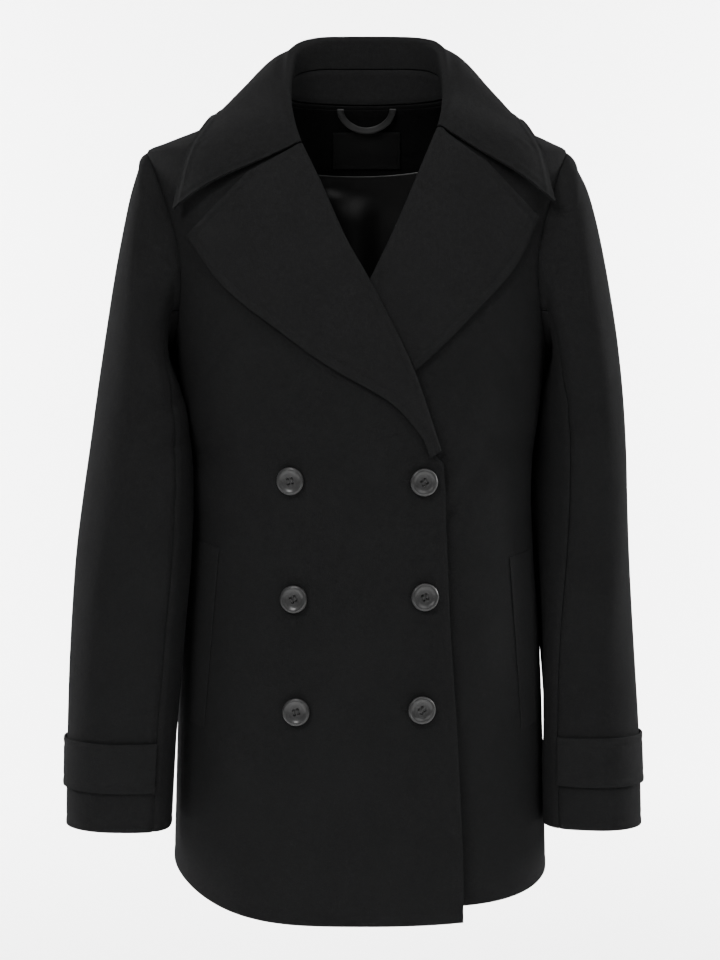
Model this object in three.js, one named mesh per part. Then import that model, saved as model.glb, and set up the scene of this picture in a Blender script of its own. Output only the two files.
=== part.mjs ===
// A woman's double-breasted pea coat in melton wool, hollow and held out in its own shape.
// Millimetres. X points to the wearer's left, Y to the back and Z up.
// The origin lies between the shoulders, where the wearer carries the coat.
import * as THREE from 'three';

// Cloth and how it is layered
const cloth = 2.6; // one wall of melton
const satin = 1.4; // lining and label
const seam = 0.3; // parting between two sewn pieces
const layer = 4; // from one front layer to the next
const apart = 4.4; // least distance from a sleeve to the body

// Heights on the body
const neckSide = -11;
const neckBack = -15;
const shoulderTip = -64;
const underarm = -250;
const breakHeight = -346;
const lapelFoot = -336; // lowest row of a lapel, just above the break
const hemFrom = -600; // the hem's curve starts to show in the rows below this
const hemLevel = -766;

// Armhole, measured forward and back from the shoulder line
const armholeFront = 68;
const armholeBack = 62;
const armholeSkew = 0.35; // the front of it bites deeper low down

// Level sections of the body
const bodyRows = [
  { z: -800, half: 179, front: 155, back: 153, middle: 0, power: 2.45 },
  { z: -680, half: 176, front: 153, back: 147, middle: 0, power: 2.45 },
  { z: -600, half: 174, front: 151, back: 141, middle: 0, power: 2.4 },
  { z: -520, half: 170.5, front: 149, back: 132, middle: 0, power: 2.4 },
  { z: -440, half: 164.5, front: 147, back: 120, middle: 0, power: 2.4 },
  { z: -375, half: 162, front: 147, back: 113, middle: 0, power: 2.4 },
  { z: -300, half: 170, front: 149, back: 116, middle: 0, power: 2.4 },
  { z: -250, half: 175, front: 147, back: 118, middle: 0, power: 2.4 },
  { z: -210, half: 180, front: 140, back: 117, middle: 0, power: 2.4 },
  { z: -160, half: 187, front: 124, back: 112, middle: -1, power: 2.35 },
  { z: -110, half: 194, front: 105, back: 103, middle: -2, power: 2.3 },
  { z: -64, half: 198, front: 84, back: 88, middle: -3, power: 2 },
  { z: -56, half: 182, front: 81, back: 85, middle: -1, power: 1.9 },
  { z: -46, half: 158, front: 77, back: 82, middle: 1, power: 1.85 },
  { z: -32, half: 123, front: 72, back: 76, middle: 3, power: 1.85 },
  { z: -20, half: 95, front: 66, back: 70, middle: 4, power: 1.9 },
  { z: -11, half: 79, front: 60, back: 64, middle: 5, power: 2 },
  { z: 60, half: 74, front: 56, back: 62, middle: 6, power: 2.1 },
];

// Heights of the cross rows of a front or back, between the hem and the neck
const skirtHeights = [
  -766, -724, -682, -641, -600, -560, -520, -480, -440, -408, -375, -353, -336, -305, -276,
];
const shoulderHeights = [-56, -46, -33, -21, -11];
const armholeSteps = 10;

// Front edge of the wearer's right front, which laps over, and the roll lines of both lapels
const edgeRows = [
  { z: -800, x: 93 },
  { z: -742, x: 93 },
  { z: -624, x: 88.5 },
  { z: -479, x: 79.5 },
  { z: -346, x: 74 },
];
const rollRightRows = [
  { z: -346, x: 74 },
  { z: -267, x: 47.5 },
  { z: -186, x: 8 },
  { z: -151, x: -12 },
  { z: -98, x: -36 },
  { z: -60, x: -54 },
];
const rollLeftRows = [
  { z: -346, x: -74 },
  { z: -267, x: -33.5 },
  { z: -186, x: 8 },
  { z: -137, x: 32 },
  { z: -93, x: 51 },
  { z: -44, x: 72 },
];
const neckRightRows = [
  { z: -60, x: -61 },
  { z: -40, x: -67 },
  { z: -24, x: -71 },
  { z: -11, x: -71.5 },
];
const neckLeftRows = [
  { z: -44, x: 79 },
  { z: -30, x: 82.5 },
  { z: -20, x: 83.5 },
  { z: -11, x: 81.5 },
];

// Lapel edges, from the break (along 0) to the point (along 1)
const lapelRightRows = [
  { along: 0, x: 66, z: -339 },
  { along: 0.2, x: 30, z: -295 },
  { along: 0.4, x: -25, z: -262 },
  { along: 0.6, x: -72, z: -229 },
  { along: 0.8, x: -122, z: -189 },
  { along: 1, x: -156, z: -144 },
];
const lapelLeftRows = [
  { along: 0, x: -66, z: -339 },
  { along: 0.2, x: -5, z: -303 },
  { along: 0.4, x: 52, z: -262 },
  { along: 0.6, x: 103, z: -213 },
  { along: 0.8, x: 142, z: -168 },
  { along: 1, x: 161, z: -127 },
];
const notchAt = 0.43; // share of the collar's front edge that is sewn to the lapel
const gorgeGap = 2.4; // down the roll line, between the collar's end and the lapel's

// Collar stations from the wearer's right point round the back to the left point:
// the crest of the fold, the free edge, how far the fold leans over towards the neck and how far the fall bows out
const collarRows = [
  { crestX: -54, crestY: -84, crestZ: -60, edgeX: -165, edgeY: -75, edgeZ: -121, fold: 3.2, lean: 84, bow: 1 },
  { crestX: -61, crestY: -68.2, crestZ: -38, edgeX: -156, edgeY: -56, edgeZ: -88, fold: 3.8, lean: 66, bow: 3 },
  { crestX: -66, crestY: -39, crestZ: -14, edgeX: -145, edgeY: -34, edgeZ: -58, fold: 4.5, lean: 42, bow: 6 },
  { crestX: -68, crestY: -4, crestZ: 11, edgeX: -135, edgeY: 2, edgeZ: -33, fold: 5, lean: 20, bow: 10 },
  { crestX: -67, crestY: 28, crestZ: 32, edgeX: -119, edgeY: 44, edgeZ: -36, fold: 5, lean: 8, bow: 12 },
  { crestX: -56, crestY: 52, crestZ: 45, edgeX: -90, edgeY: 68, edgeZ: -42, fold: 5, lean: 0, bow: 8 },
  { crestX: -32, crestY: 69, crestZ: 51, edgeX: -48, edgeY: 82, edgeZ: -47, fold: 5, lean: 0, bow: 4 },
  { crestX: 8, crestY: 76, crestZ: 52, edgeX: 6, edgeY: 88, edgeZ: -48, fold: 5, lean: 0, bow: 2 },
  { crestX: 46, crestY: 70, crestZ: 51, edgeX: 60, edgeY: 82, edgeZ: -47, fold: 5, lean: 0, bow: 4 },
  { crestX: 70, crestY: 52, crestZ: 46, edgeX: 102, edgeY: 68, edgeZ: -42, fold: 5, lean: 0, bow: 8 },
  { crestX: 80, crestY: 26, crestZ: 33, edgeX: 131, edgeY: 44, edgeZ: -37, fold: 5, lean: 8, bow: 12 },
  { crestX: 81, crestY: -4, crestZ: 12, edgeX: 148, edgeY: 2, edgeZ: -37, fold: 5, lean: 20, bow: 10 },
  { crestX: 79, crestY: -32, crestZ: -9, edgeX: 158, edgeY: -32, edgeZ: -63, fold: 4.5, lean: 42, bow: 6 },
  { crestX: 76, crestY: -56.5, crestZ: -28, edgeX: 167, edgeY: -52, edgeZ: -88, fold: 3.8, lean: 66, bow: 3 },
  { crestX: 72, crestY: -68, crestZ: -44, edgeX: 173, edgeY: -72, edgeZ: -114, fold: 3.2, lean: 84, bow: 1 },
];

// Sleeve sections: the outer and inner ends of each, its place from front to back, its half depth
// and how far its back is turned in behind the body, in degrees
const sleeveRightRows = [
  { outerX: 207, outerZ: -77, innerX: 182, innerZ: -249, y: -3, depth: 70, twist: 0 },
  { outerX: 214, outerZ: -101, innerX: 182, innerZ: -256, y: -8, depth: 74, twist: 0 },
  { outerX: 221, outerZ: -135, innerX: 176, innerZ: -266, y: -15, depth: 77, twist: 0 },
  { outerX: 229, outerZ: -182, innerX: 168, innerZ: -280, y: -24, depth: 78, twist: 0 },
  { outerX: 236, outerZ: -233, innerX: 160, innerZ: -302, y: -34, depth: 76, twist: 0 },
  { outerX: 243, outerZ: -284, innerX: 156, innerZ: -330, y: -44, depth: 72, twist: 0 },
  { outerX: 250, outerZ: -335, innerX: 155, innerZ: -363, y: -53, depth: 67, twist: 0 },
  { outerX: 257, outerZ: -385, innerX: 155, innerZ: -402, y: -61, depth: 62, twist: 0 },
  { outerX: 263, outerZ: -435, innerX: 157, innerZ: -445, y: -67, depth: 58, twist: 0 },
  { outerX: 267, outerZ: -490, innerX: 162, innerZ: -495, y: -72, depth: 54, twist: 0 },
  { outerX: 270, outerZ: -550, innerX: 167, innerZ: -550, y: -77, depth: 50, twist: 0 },
  { outerX: 271.5, outerZ: -603, innerX: 172, innerZ: -603, y: -81, depth: 46.5, twist: 0 },
  { outerX: 272.5, outerZ: -652, innerX: 175, innerZ: -653, y: -84, depth: 44, twist: 0 },
  { outerX: 273, outerZ: -688, innerX: 177, innerZ: -689, y: -85, depth: 42.5, twist: 0 },
];
const sleeveLeftRows = [
  { outerX: 204, outerZ: -80, innerX: 182, innerZ: -249, y: -3, depth: 70, twist: 0 },
  { outerX: 213, outerZ: -98, innerX: 182, innerZ: -256, y: -4, depth: 74, twist: 0 },
  { outerX: 222, outerZ: -130, innerX: 177, innerZ: -267, y: -5, depth: 77, twist: 2 },
  { outerX: 231, outerZ: -178, innerX: 171, innerZ: -282, y: -5, depth: 78, twist: 6 },
  { outerX: 238, outerZ: -231, innerX: 166, innerZ: -302, y: -4, depth: 76, twist: 12 },
  { outerX: 243, outerZ: -284, innerX: 162, innerZ: -330, y: -2, depth: 72, twist: 18 },
  { outerX: 247, outerZ: -335, innerX: 159, innerZ: -363, y: 0, depth: 68, twist: 22 },
  { outerX: 250.5, outerZ: -385, innerX: 157, innerZ: -402, y: 0, depth: 63, twist: 24 },
  { outerX: 254, outerZ: -435, innerX: 158, innerZ: -445, y: -3, depth: 59, twist: 22 },
  { outerX: 258, outerZ: -490, innerX: 161, innerZ: -495, y: -10, depth: 55, twist: 16 },
  { outerX: 261.5, outerZ: -550, innerX: 165, innerZ: -550, y: -22, depth: 51, twist: 9 },
  { outerX: 264, outerZ: -605, innerX: 169, innerZ: -603, y: -35, depth: 47.5, twist: 3 },
  { outerX: 265, outerZ: -655, innerX: 172, innerZ: -652, y: -46, depth: 45, twist: 0 },
  { outerX: 265.5, outerZ: -696, innerX: 173, innerZ: -693, y: -52, depth: 43.5, twist: 0 },
];
const sleeveColumns = 20;
const sleeveGirth = 300; // about half way down
const frontSeamColumn = 7; // the forearm seam, counted from the shoulder tip round the front
const hindSeamColumn = 13; // the elbow seam

// Cuff straps, from the forearm seam round the outside to the back of the arm
const strapTops = { right: -606, left: -611 };
const strapHeight = 45;
const strapSpan = { from: -6, to: 6.9 }; // in sleeve columns, back to front

// Pocket welts: corners of each on the front
const weltRight = { topIn: -127, bottomIn: -142, topZ: -428, bottomZ: -597, topWide: 24, bottomWide: 17, lift: 4 };
const weltLeft = { topIn: 137, bottomIn: 149, topZ: -438, bottomZ: -599, topWide: 22, bottomWide: 16, lift: 3 };
const weltRoom = 3.2; // further a sleeve keeps off the body where it passes a welt

// Buttons, all on the front that laps over
const buttonRows = [
  { x: -61, z: -363 },
  { x: 56, z: -364 },
  { x: -58.5, z: -470 },
  { x: 57, z: -468 },
  { x: -56.5, z: -572 },
  { x: 54.5, z: -570 },
];
const buttonRadius = 12.5;
const buttonShank = 1.5;

// Largest soft folds: where each lies on the fronts or the back, its run, width and depth
const foldRows = [
  { back: false, x: -112, z: -330, turn: 62, long: 60, wide: 15, deep: -3.5 },
  { back: false, x: 116, z: -322, turn: -62, long: 60, wide: 15, deep: -3 },
  { back: false, x: -120, z: -392, turn: -55, long: 55, wide: 14, deep: 3 },
  { back: false, x: 122, z: -388, turn: 55, long: 50, wide: 14, deep: 2.5 },
  { back: true, x: -70, z: -385, turn: 12, long: 95, wide: 20, deep: -4 },
  { back: true, x: 66, z: -400, turn: -10, long: 90, wide: 18, deep: -3.5 },
  { back: true, x: 6, z: -620, turn: 0, long: 130, wide: 34, deep: 4 },
  { back: true, x: -128, z: -215, turn: 30, long: 50, wide: 16, deep: 3 },
  { back: true, x: 126, z: -222, turn: -32, long: 55, wide: 16, deep: 3 },
];

const wool = { color: 0x17181b, roughness: 0.95 };
const facingWool = { color: 0x1a1b1e, roughness: 0.95 };
const lining = { color: 0x131418, roughness: 0.4 };
const horn = { color: 0x0e0f12, roughness: 0.3 };
const tape = { color: 0x1d1e22, roughness: 0.6 };

const coat = new THREE.Group();
const up = new THREE.Vector3(0, 0, 1);

const radians = (degrees) => THREE.MathUtils.degToRad(degrees);
const mix = (a, b, share) => a + (b - a) * share;
const smooth = (value, low, high) => THREE.MathUtils.smoothstep(value, low, high);
const point = (x, y, z) => new THREE.Vector3(x, y, z);

// A smooth curve through one column of a table, with no overshoot between the rows
function column(rows, key, name) {
  const at = rows.map((row) => row[key]);
  const value = rows.map((row) => row[name]);
  const rise = at.slice(1).map((next, i) => (value[i + 1] - value[i]) / (next - at[i]));
  const slope = value.map((_, i) => {
    if (i === 0) return rise[0];
    if (i === rise.length) return rise[i - 1];
    const turns = rise[i - 1] * rise[i] <= 0;
    return turns ? 0 : (2 * rise[i - 1] * rise[i]) / (rise[i - 1] + rise[i]);
  });
  return (where) => {
    if (where <= at[0]) return value[0];
    let i = 0;
    while (i < rise.length - 1 && where > at[i + 1]) i += 1;
    const width = at[i + 1] - at[i];
    const t = Math.min((where - at[i]) / width, 1);
    const s = 1 - t;
    return value[i] * (1 + 2 * t) * s * s + slope[i] * width * t * s * s
      + value[i + 1] * (1 + 2 * s) * t * t - slope[i + 1] * width * s * t * t;
  };
}

// One set of curves for all the named columns of a table
function curves(rows, key) {
  const names = Object.keys(rows[0]).filter((name) => name !== key);
  return Object.fromEntries(names.map((name) => [name, column(rows, key, name)]));
}

const body = curves(bodyRows, 'z');

// A point on the body's middle surface: angle 0 at the centre front, 90 degrees at the left side
function onBody(angle, z) {
  const power = 2 / body.power(z);
  const across = Math.sin(angle);
  const forward = Math.cos(angle);
  const depth = forward > 0 ? body.front(z) : body.back(z);
  return point(
    body.middle(z) + body.half(z) * Math.sign(across) * Math.abs(across) ** power,
    -depth * Math.sign(forward) * Math.abs(forward) ** power,
    z,
  );
}

// The angle of a place on the front half given by its x, or of one near a side given by its y
function angleAcross(x, z) {
  const share = (x - body.middle(z)) / body.half(z);
  return Math.sign(share) * Math.asin(Math.min(Math.abs(share) ** (body.power(z) / 2), 1));
}
function angleAside(y, z) {
  const depth = y < 0 ? body.front(z) : body.back(z);
  const turn = Math.acos(Math.abs(y / depth) ** (body.power(z) / 2));
  return y < 0 ? turn : Math.PI - turn;
}

// How far a point lies outside the body's middle surface, and the way straight out from it
function sectionShare(p) {
  const depth = p.y < 0 ? body.front(p.z) : body.back(p.z);
  const power = body.power(p.z);
  const across = Math.abs((p.x - body.middle(p.z)) / body.half(p.z));
  return (across ** power + Math.abs(p.y / depth) ** power) ** (1 / power);
}
function outwards(p) {
  const step = 0.5;
  const slope = ['x', 'y', 'z'].map((axis) => {
    const ahead = p.clone();
    const behind = p.clone();
    ahead[axis] += step;
    behind[axis] -= step;
    return (sectionShare(ahead) - sectionShare(behind)) / (2 * step);
  });
  return point(...slope);
}
function distanceOut(p) {
  return (sectionShare(p) - 1) / outwards(p).length();
}
function normalAt(p) {
  return outwards(p).normalize();
}

// Moves a point out until it lies at least so far from the body, softly near that distance
function keepOut(p, least, ease = 3) {
  const moved = p.clone();
  for (let turn = 0; turn < 5; turn += 1) {
    const short = least - distanceOut(moved);
    const push = turn === 0 ? 0.5 * (short + Math.hypot(short, ease)) : Math.max(short, 0);
    if (push < 0.01) break;
    moved.addScaledVector(normalAt(moved), push);
  }
  return moved;
}

// Soft folds, as a rise or dip of the body's surface
function foldAt(p) {
  let rise = 0;
  for (const fold of foldRows) {
    if (fold.back !== p.y > 0) continue;
    const turn = radians(fold.turn);
    const dx = p.x - fold.x;
    const dz = p.z - fold.z;
    const along = (dz * Math.cos(turn) + dx * Math.sin(turn)) / fold.long;
    const beside = (dx * Math.cos(turn) - dz * Math.sin(turn)) / fold.wide;
    rise += fold.deep * Math.exp(-along * along - beside * beside);
  }
  return rise;
}

// Height of a front above the body's surface: the right front laps over the left lapel and front
function frontLevel(side, x, z) {
  const share = (1 - smooth(side * x, 60, 170)) * smooth(-z, 20, 110);
  const lap = side > 0 ? -1.5 * layer : 0.5 * layer;
  const standBack = side > 0 ? -8 * smooth(-z, 520, 766) : 0;
  return (lap + standBack) * share;
}
function onFront(side, x, z, rise = 0) {
  const p = onBody(angleAcross(x, z), z);
  const level = frontLevel(side, x, z) + foldAt(p) + rise;
  return p.addScaledVector(normalAt(p), level);
}

// Directions straight out of a grid of points, all to the same side as the given one in its middle
function gridDirections(rows, towards) {
  const deep = rows.length;
  const wide = rows[0].length;
  const directions = rows.map((row, i) => row.map((_, j) => {
    const along = rows[Math.min(i + 1, deep - 1)][j].clone().sub(rows[Math.max(i - 1, 0)][j]);
    const across = row[Math.min(j + 1, wide - 1)].clone().sub(row[Math.max(j - 1, 0)]);
    return along.cross(across).normalize();
  }));
  const middle = directions[deep >> 1][wide >> 1];
  if (middle.dot(towards) < 0) directions.flat().forEach((d) => d.negate());
  return directions;
}

// A wall of even thickness about a grid of points, as one closed body
function wall(name, finish, rows, thickness, directions = gridDirections(rows, up)) {
  const deep = rows.length;
  const wide = rows[0].length;
  const positions = [];
  for (const half of [thickness / 2, -thickness / 2]) {
    rows.forEach((row, i) => row.forEach((p, j) => {
      positions.push(...p.clone().addScaledVector(directions[i][j], half).toArray());
    }));
  }
  const faces = [];
  const quad = (a, b, c, d) => faces.push(a, b, c, a, c, d);
  const at = (i, j, far) => i * wide + j + (far ? deep * wide : 0);
  for (let i = 0; i < deep - 1; i += 1) {
    for (let j = 0; j < wide - 1; j += 1) {
      quad(at(i, j), at(i + 1, j), at(i + 1, j + 1), at(i, j + 1));
      quad(at(i, j, 1), at(i, j + 1, 1), at(i + 1, j + 1, 1), at(i + 1, j, 1));
    }
    quad(at(i, 0), at(i, 0, 1), at(i + 1, 0, 1), at(i + 1, 0));
    quad(at(i, wide - 1), at(i + 1, wide - 1), at(i + 1, wide - 1, 1), at(i, wide - 1, 1));
  }
  for (let j = 0; j < wide - 1; j += 1) {
    quad(at(0, j), at(0, j + 1), at(0, j + 1, 1), at(0, j, 1));
    quad(at(deep - 1, j), at(deep - 1, j, 1), at(deep - 1, j + 1, 1), at(deep - 1, j + 1));
  }
  addSolid(name, finish, positions, faces);
}

// Adds a closed solid to the coat, with its faces turned to point out
function addSolid(name, finish, positions, faces) {
  const corner = (i) => point(...positions.slice(3 * i, 3 * i + 3));
  let volume = 0;
  for (let i = 0; i < faces.length; i += 3) {
    volume += corner(faces[i]).dot(corner(faces[i + 1]).cross(corner(faces[i + 2])));
  }
  const geometry = new THREE.BufferGeometry();
  geometry.setAttribute('position', new THREE.Float32BufferAttribute(positions, 3));
  geometry.setIndex(volume > 0 ? faces : faces.slice().reverse());
  addMesh(name, finish, geometry);
}
function addMesh(name, finish, geometry) {
  geometry.computeVertexNormals();
  const material = new THREE.MeshStandardMaterial({ color: finish.color, roughness: finish.roughness });
  const mesh = new THREE.Mesh(geometry, material);
  mesh.name = name;
  coat.add(mesh);
  return mesh;
}

// Edge of the armhole: angle 0 at the shoulder tip, 90 degrees at the front, 180 at the underarm
function armholeY(angle) {
  const across = Math.sin(angle);
  return across > 0
    ? -armholeFront * across * (1 - armholeSkew * Math.cos(angle))
    : -armholeBack * across;
}
function armholeZ(angle) {
  return mix(underarm, shoulderTip, (1 + Math.cos(angle)) / 2);
}
const armholeAngles = Array.from({ length: armholeSteps + 1 }, (_, k) => Math.PI * (1 - k / armholeSteps));
const plainRow = (z) => ({ z, front: seam / 2, back: seam / 2 });
const heights = [
  ...skirtHeights.map(plainRow),
  ...armholeAngles.map((angle) => ({
    z: armholeZ(angle),
    front: Math.max(-armholeY(angle), seam / 2),
    back: Math.max(armholeY(-angle), seam / 2),
  })),
  ...shoulderHeights.map(plainRow),
];

// The hem falls lower at the centre than at the sides, and the under front is a little shorter
function hemDrop(z, hem) {
  return z > hemFrom ? z : mix(hemFrom, hem, (hemFrom - z) / (hemFrom - hemLevel));
}
function frontHem(side, x) {
  const share = Math.max(side * x - 20, 0) / 160;
  return side > 0 ? -756 + 12 * share ** 5 : -768 + 34 * share ** 3.3;
}

// Inner boundary of a front: its edge below the break, just short of the roll above it, then the neck
const rolls = {
  '-1': { roll: column(rollRightRows, 'z', 'x'), neck: column(neckRightRows, 'z', 'x'), gorge: -60 },
  1: { roll: column(rollLeftRows, 'z', 'x'), neck: column(neckLeftRows, 'z', 'x'), gorge: -44 },
};
const frontEdge = column(edgeRows, 'z', 'x');
const hookEnd = 5.5; // how far the lapel's turn runs under, to meet the front
const hookSeam = 0.6;
function innerX(side, z) {
  const { roll, neck, gorge } = rolls[side];
  if (z <= breakHeight) return -side * frontEdge(z);
  if (z >= gorge) return neck(z);
  const slope = (roll(z + 1) - roll(z - 1)) / 2;
  const short = (hookEnd + hookSeam) * smooth(z, breakHeight - 6, lapelFoot);
  return roll(z) + side * short * Math.hypot(1, slope);
}

function makeFront(name, side) {
  const columns = 11;
  const rows = heights.map(({ z, front }) => {
    const inner = angleAcross(innerX(side, z), z);
    const outer = side * angleAside(-front, z);
    return Array.from({ length: columns + 1 }, (_, j) => {
      const share = 1 - (1 - j / columns) ** 0.9;
      const angle = mix(inner, outer, share);
      const p = onBody(angle, z);
      const fromSide = side * (outer - angle);
      p.addScaledVector(normalAt(p), frontLevel(side, p.x, z) + foldAt(p) * smooth(fromSide, 0, 0.3));
      p.z = hemDrop(p.z, frontHem(side, p.x));
      return p;
    });
  });
  wall(name, wool, rows, cloth, rows.map((row) => row.map(normalAt)));
}

function makeBack() {
  const columns = 18;
  const rows = heights.map(({ z, back }) => {
    const right = 2 * Math.PI - angleAside(back, z);
    const left = angleAside(back, z);
    return Array.from({ length: columns + 1 }, (_, j) => {
      const share = j / columns;
      const inward = Math.sin(Math.PI * share);
      const height = z + (neckBack - neckSide) * inward * smooth(z, -64, neckSide);
      const p = onBody(mix(left, right, share), height);
      p.addScaledVector(normalAt(p), foldAt(p) * smooth(inward, 0, 0.4));
      p.z = hemDrop(p.z, mix(-740, -750, inward));
      return p;
    });
  });
  wall('back', wool, rows, cloth, rows.map((row) => row.map(normalAt)));
}

// A lapel turns round the roll line from the front's edge and lies back over the front
const hookRows = [
  { in: 5.5, rise: 0 },
  { in: 3, rise: 0.2 },
  { in: 1, rise: 1.2 },
  { in: 0, rise: 3.2 },
  { in: 1, rise: 5.3 },
  { in: 4, rise: 6.4 },
];
const hookTop = 6.4;
const leafShares = [0.14, 0.28, 0.43, 0.57, 0.71, 0.86, 1];
function makeLapel(name, side, edgeTable) {
  const edge = curves(edgeTable, 'along');
  const { roll, gorge } = rolls[side];
  const last = side > 0 ? collarRows.length - 1 : 0;
  const station = collarRows[last];
  const top = gorge - gorgeGap;
  const between = heights.map((row) => row.z).filter((z) => z > lapelFoot && z < top - 5);
  const rows = [lapelFoot, ...between, top].map((z) => {
    const along = (z - lapelFoot) / (top - lapelFoot);
    const x = roll(z);
    const slope = (roll(z + 2) - roll(z - 2)) / 4;
    const aside = point(side, 0, -side * slope).normalize();
    const end = point(edge.x(along), 0, edge.z(along));
    const start = point(x, 0, z);
    const bend = start.clone().lerp(end, notchAt);
    const notch = start.clone().lerp(point(station.edgeX, 0, station.edgeZ - gorgeGap), notchAt);
    bend.lerp(notch, along ** 5);
    const puffAt = (place) => (side < 0
      ? smooth(along, 0, 0.3)
      : smooth(place.x - rolls[-1].roll(place.z), 4, 26));
    const hook = hookRows.map((row) => {
      const place = start.clone().addScaledVector(aside, row.in);
      const rise = row.rise * mix(layer / hookTop, 1, puffAt(place));
      return onFront(side, place.x, place.z, rise);
    });
    const leaf = leafShares.map((share) => {
      const place = share < notchAt
        ? start.clone().lerp(bend, share / notchAt)
        : bend.clone().lerp(end, (share - notchAt) / (1 - notchAt));
      const run = Math.max(place.distanceTo(start), 6 + 5 * share);
      place.sub(start).setLength(run).add(start);
      return onFront(side, place.x, place.z, layer + 2.2 * puffAt(place) * Math.exp(-run / 22));
    });
    return [...hook, ...leaf];
  });
  wall(name, facingWool, rows, cloth);
}

// The collar's curves run along its stations, from 0 at the right point to 1 at the left one
const collar = curves(collarRows.map((row, i) => ({ at: i / (collarRows.length - 1), ...row })), 'at');
function crestFrame(at) {
  const step = 0.01;
  const crest = (where) => point(collar.crestX(where), collar.crestY(where), collar.crestZ(where));
  const along = crest(Math.min(at + step, 1)).sub(crest(Math.max(at - step, 0))).normalize();
  const upright = up.clone().addScaledVector(along, -up.dot(along)).normalize();
  const outward = upright.clone().cross(along).normalize();
  const lean = radians(collar.lean(at));
  return {
    crest: crest(at),
    apex: upright.clone().multiplyScalar(Math.cos(lean)).addScaledVector(outward, -Math.sin(lean)),
    inside: outward.clone().multiplyScalar(-Math.cos(lean)).addScaledVector(upright, -Math.sin(lean)),
    fold: collar.fold(at),
  };
}

// Neck edge of the body under the collar: both fronts' edges and the back's top edge, as one run
const neckTurns = { slope: 0.175, side: 0.2 }; // where the front's sloping edge and its top row end
function neckEdge(at) {
  const side = at < 0.5 ? -1 : 1;
  const fromEnd = Math.min(at, 1 - at);
  if (fromEnd < neckTurns.side) {
    const slopeShare = Math.min(fromEnd / neckTurns.slope, 1);
    const z = mix(rolls[side].gorge, neckSide, slopeShare);
    const rowShare = Math.max((fromEnd - neckTurns.slope) / (neckTurns.side - neckTurns.slope), 0);
    const angle = mix(angleAcross(rolls[side].neck(z), z), side * (Math.PI / 2), rowShare);
    const p = onBody(angle, z);
    return p.addScaledVector(normalAt(p), frontLevel(side, p.x, z));
  }
  const share = (at - neckTurns.side) / (1 - 2 * neckTurns.side);
  const angle = mix(-Math.PI / 2 - 0.01, -1.5 * Math.PI + 0.01, share);
  return onBody(angle, mix(neckSide, neckBack, Math.sin(Math.PI * share)));
}

const standSeam = 1.6;
function standRoot(at) {
  const step = 0.02;
  const p = neckEdge(at);
  const along = neckEdge(Math.min(at + step, 1)).sub(neckEdge(Math.max(at - step, 0))).normalize();
  const direction = normalAt(p);
  const across = direction.clone().cross(along).normalize();
  if (across.z < 0) across.negate();
  return { foot: p.addScaledVector(across, standSeam), direction };
}

const standShare = 0.58; // how much of the inner leg is stand, below the fall's seam
const standEnds = { from: 0.185, to: 0.815 }; // the stand tapers out before the collar's two ends
function seamShare(at) {
  return standShare * smooth(0.5 - Math.abs(at - 0.5), 0.1, 0.24);
}
function uprightShare(at) {
  return Math.cos(radians(collar.lean(at)));
}
function innerLeg(at) {
  const { crest, apex, inside, fold } = crestFrame(at);
  const down = mix(0.2, 1.5, uprightShare(at));
  const head = crest.clone().addScaledVector(apex, -down * fold).addScaledVector(inside, fold);
  return { foot: standRoot(at).foot, head };
}

const collarColumns = 32;
function makeStand() {
  const steps = 3;
  const stations = Array.from({ length: collarColumns + 1 }, (_, j) => (
    mix(standEnds.from, standEnds.to, j / collarColumns)));
  const rows = Array.from({ length: steps + 1 }, (_, i) => stations.map((at) => {
    const { foot, head } = innerLeg(at);
    return foot.clone().lerp(head, (seamShare(at) * i) / steps);
  }));
  const directions = gridDirections(rows, point(0, 1, 0));
  directions[0] = stations.map((at) => standRoot(at).direction);
  wall('collar_stand', facingWool, rows, cloth, directions);
}

const fallShares = [0.1, 0.22, 0.36, 0.5, 0.64, 0.78, 0.9, 1];
function makeCollar() {
  const stations = Array.from({ length: collarColumns + 1 }, (_, j) => j / collarColumns);
  const lines = stations.map((at) => {
    const { crest, apex, inside, fold } = crestFrame(at);
    const { foot, head } = innerLeg(at);
    const rim = (down, out) => (
      crest.clone().addScaledVector(apex, -down * fold).addScaledVector(inside, -out * fold));
    const turnDown = mix(0.1, 0.6, uprightShare(at));
    const length = foot.distanceTo(head);
    const sewn = foot.clone().lerp(head, Math.min(seamShare(at) + (3 * seam) / length, 0.7));
    const shoulder = rim(0.6, 0.85);
    const edge = point(collar.edgeX(at), collar.edgeY(at), collar.edgeZ(at));
    const fall = fallShares.map((share) => {
      const p = shoulder.clone().lerp(edge, share);
      const side = at < 0.5 ? -1 : 1;
      p.addScaledVector(point(0.5 * side * smooth(Math.abs(at - 0.5), 0.05, 0.2), 0, 0.85),
        collar.bow(at) * Math.sin(Math.PI * share ** 0.8));
      const lap = p.y < 0 ? frontLevel(side, p.x, p.z) : 0;
      const ridge = 3 * Math.exp(-(((p.y + 10) / 45) ** 2));
      return keepOut(p, lap + layer + ridge, 1.5);
    });
    return [sewn, sewn.clone().lerp(head, 0.55), head, rim(turnDown, -0.85), crest, shoulder, ...fall];
  });
  const rows = lines[0].map((_, i) => lines.map((line) => line[i]));
  wall('collar', wool, rows, cloth);
}

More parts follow.
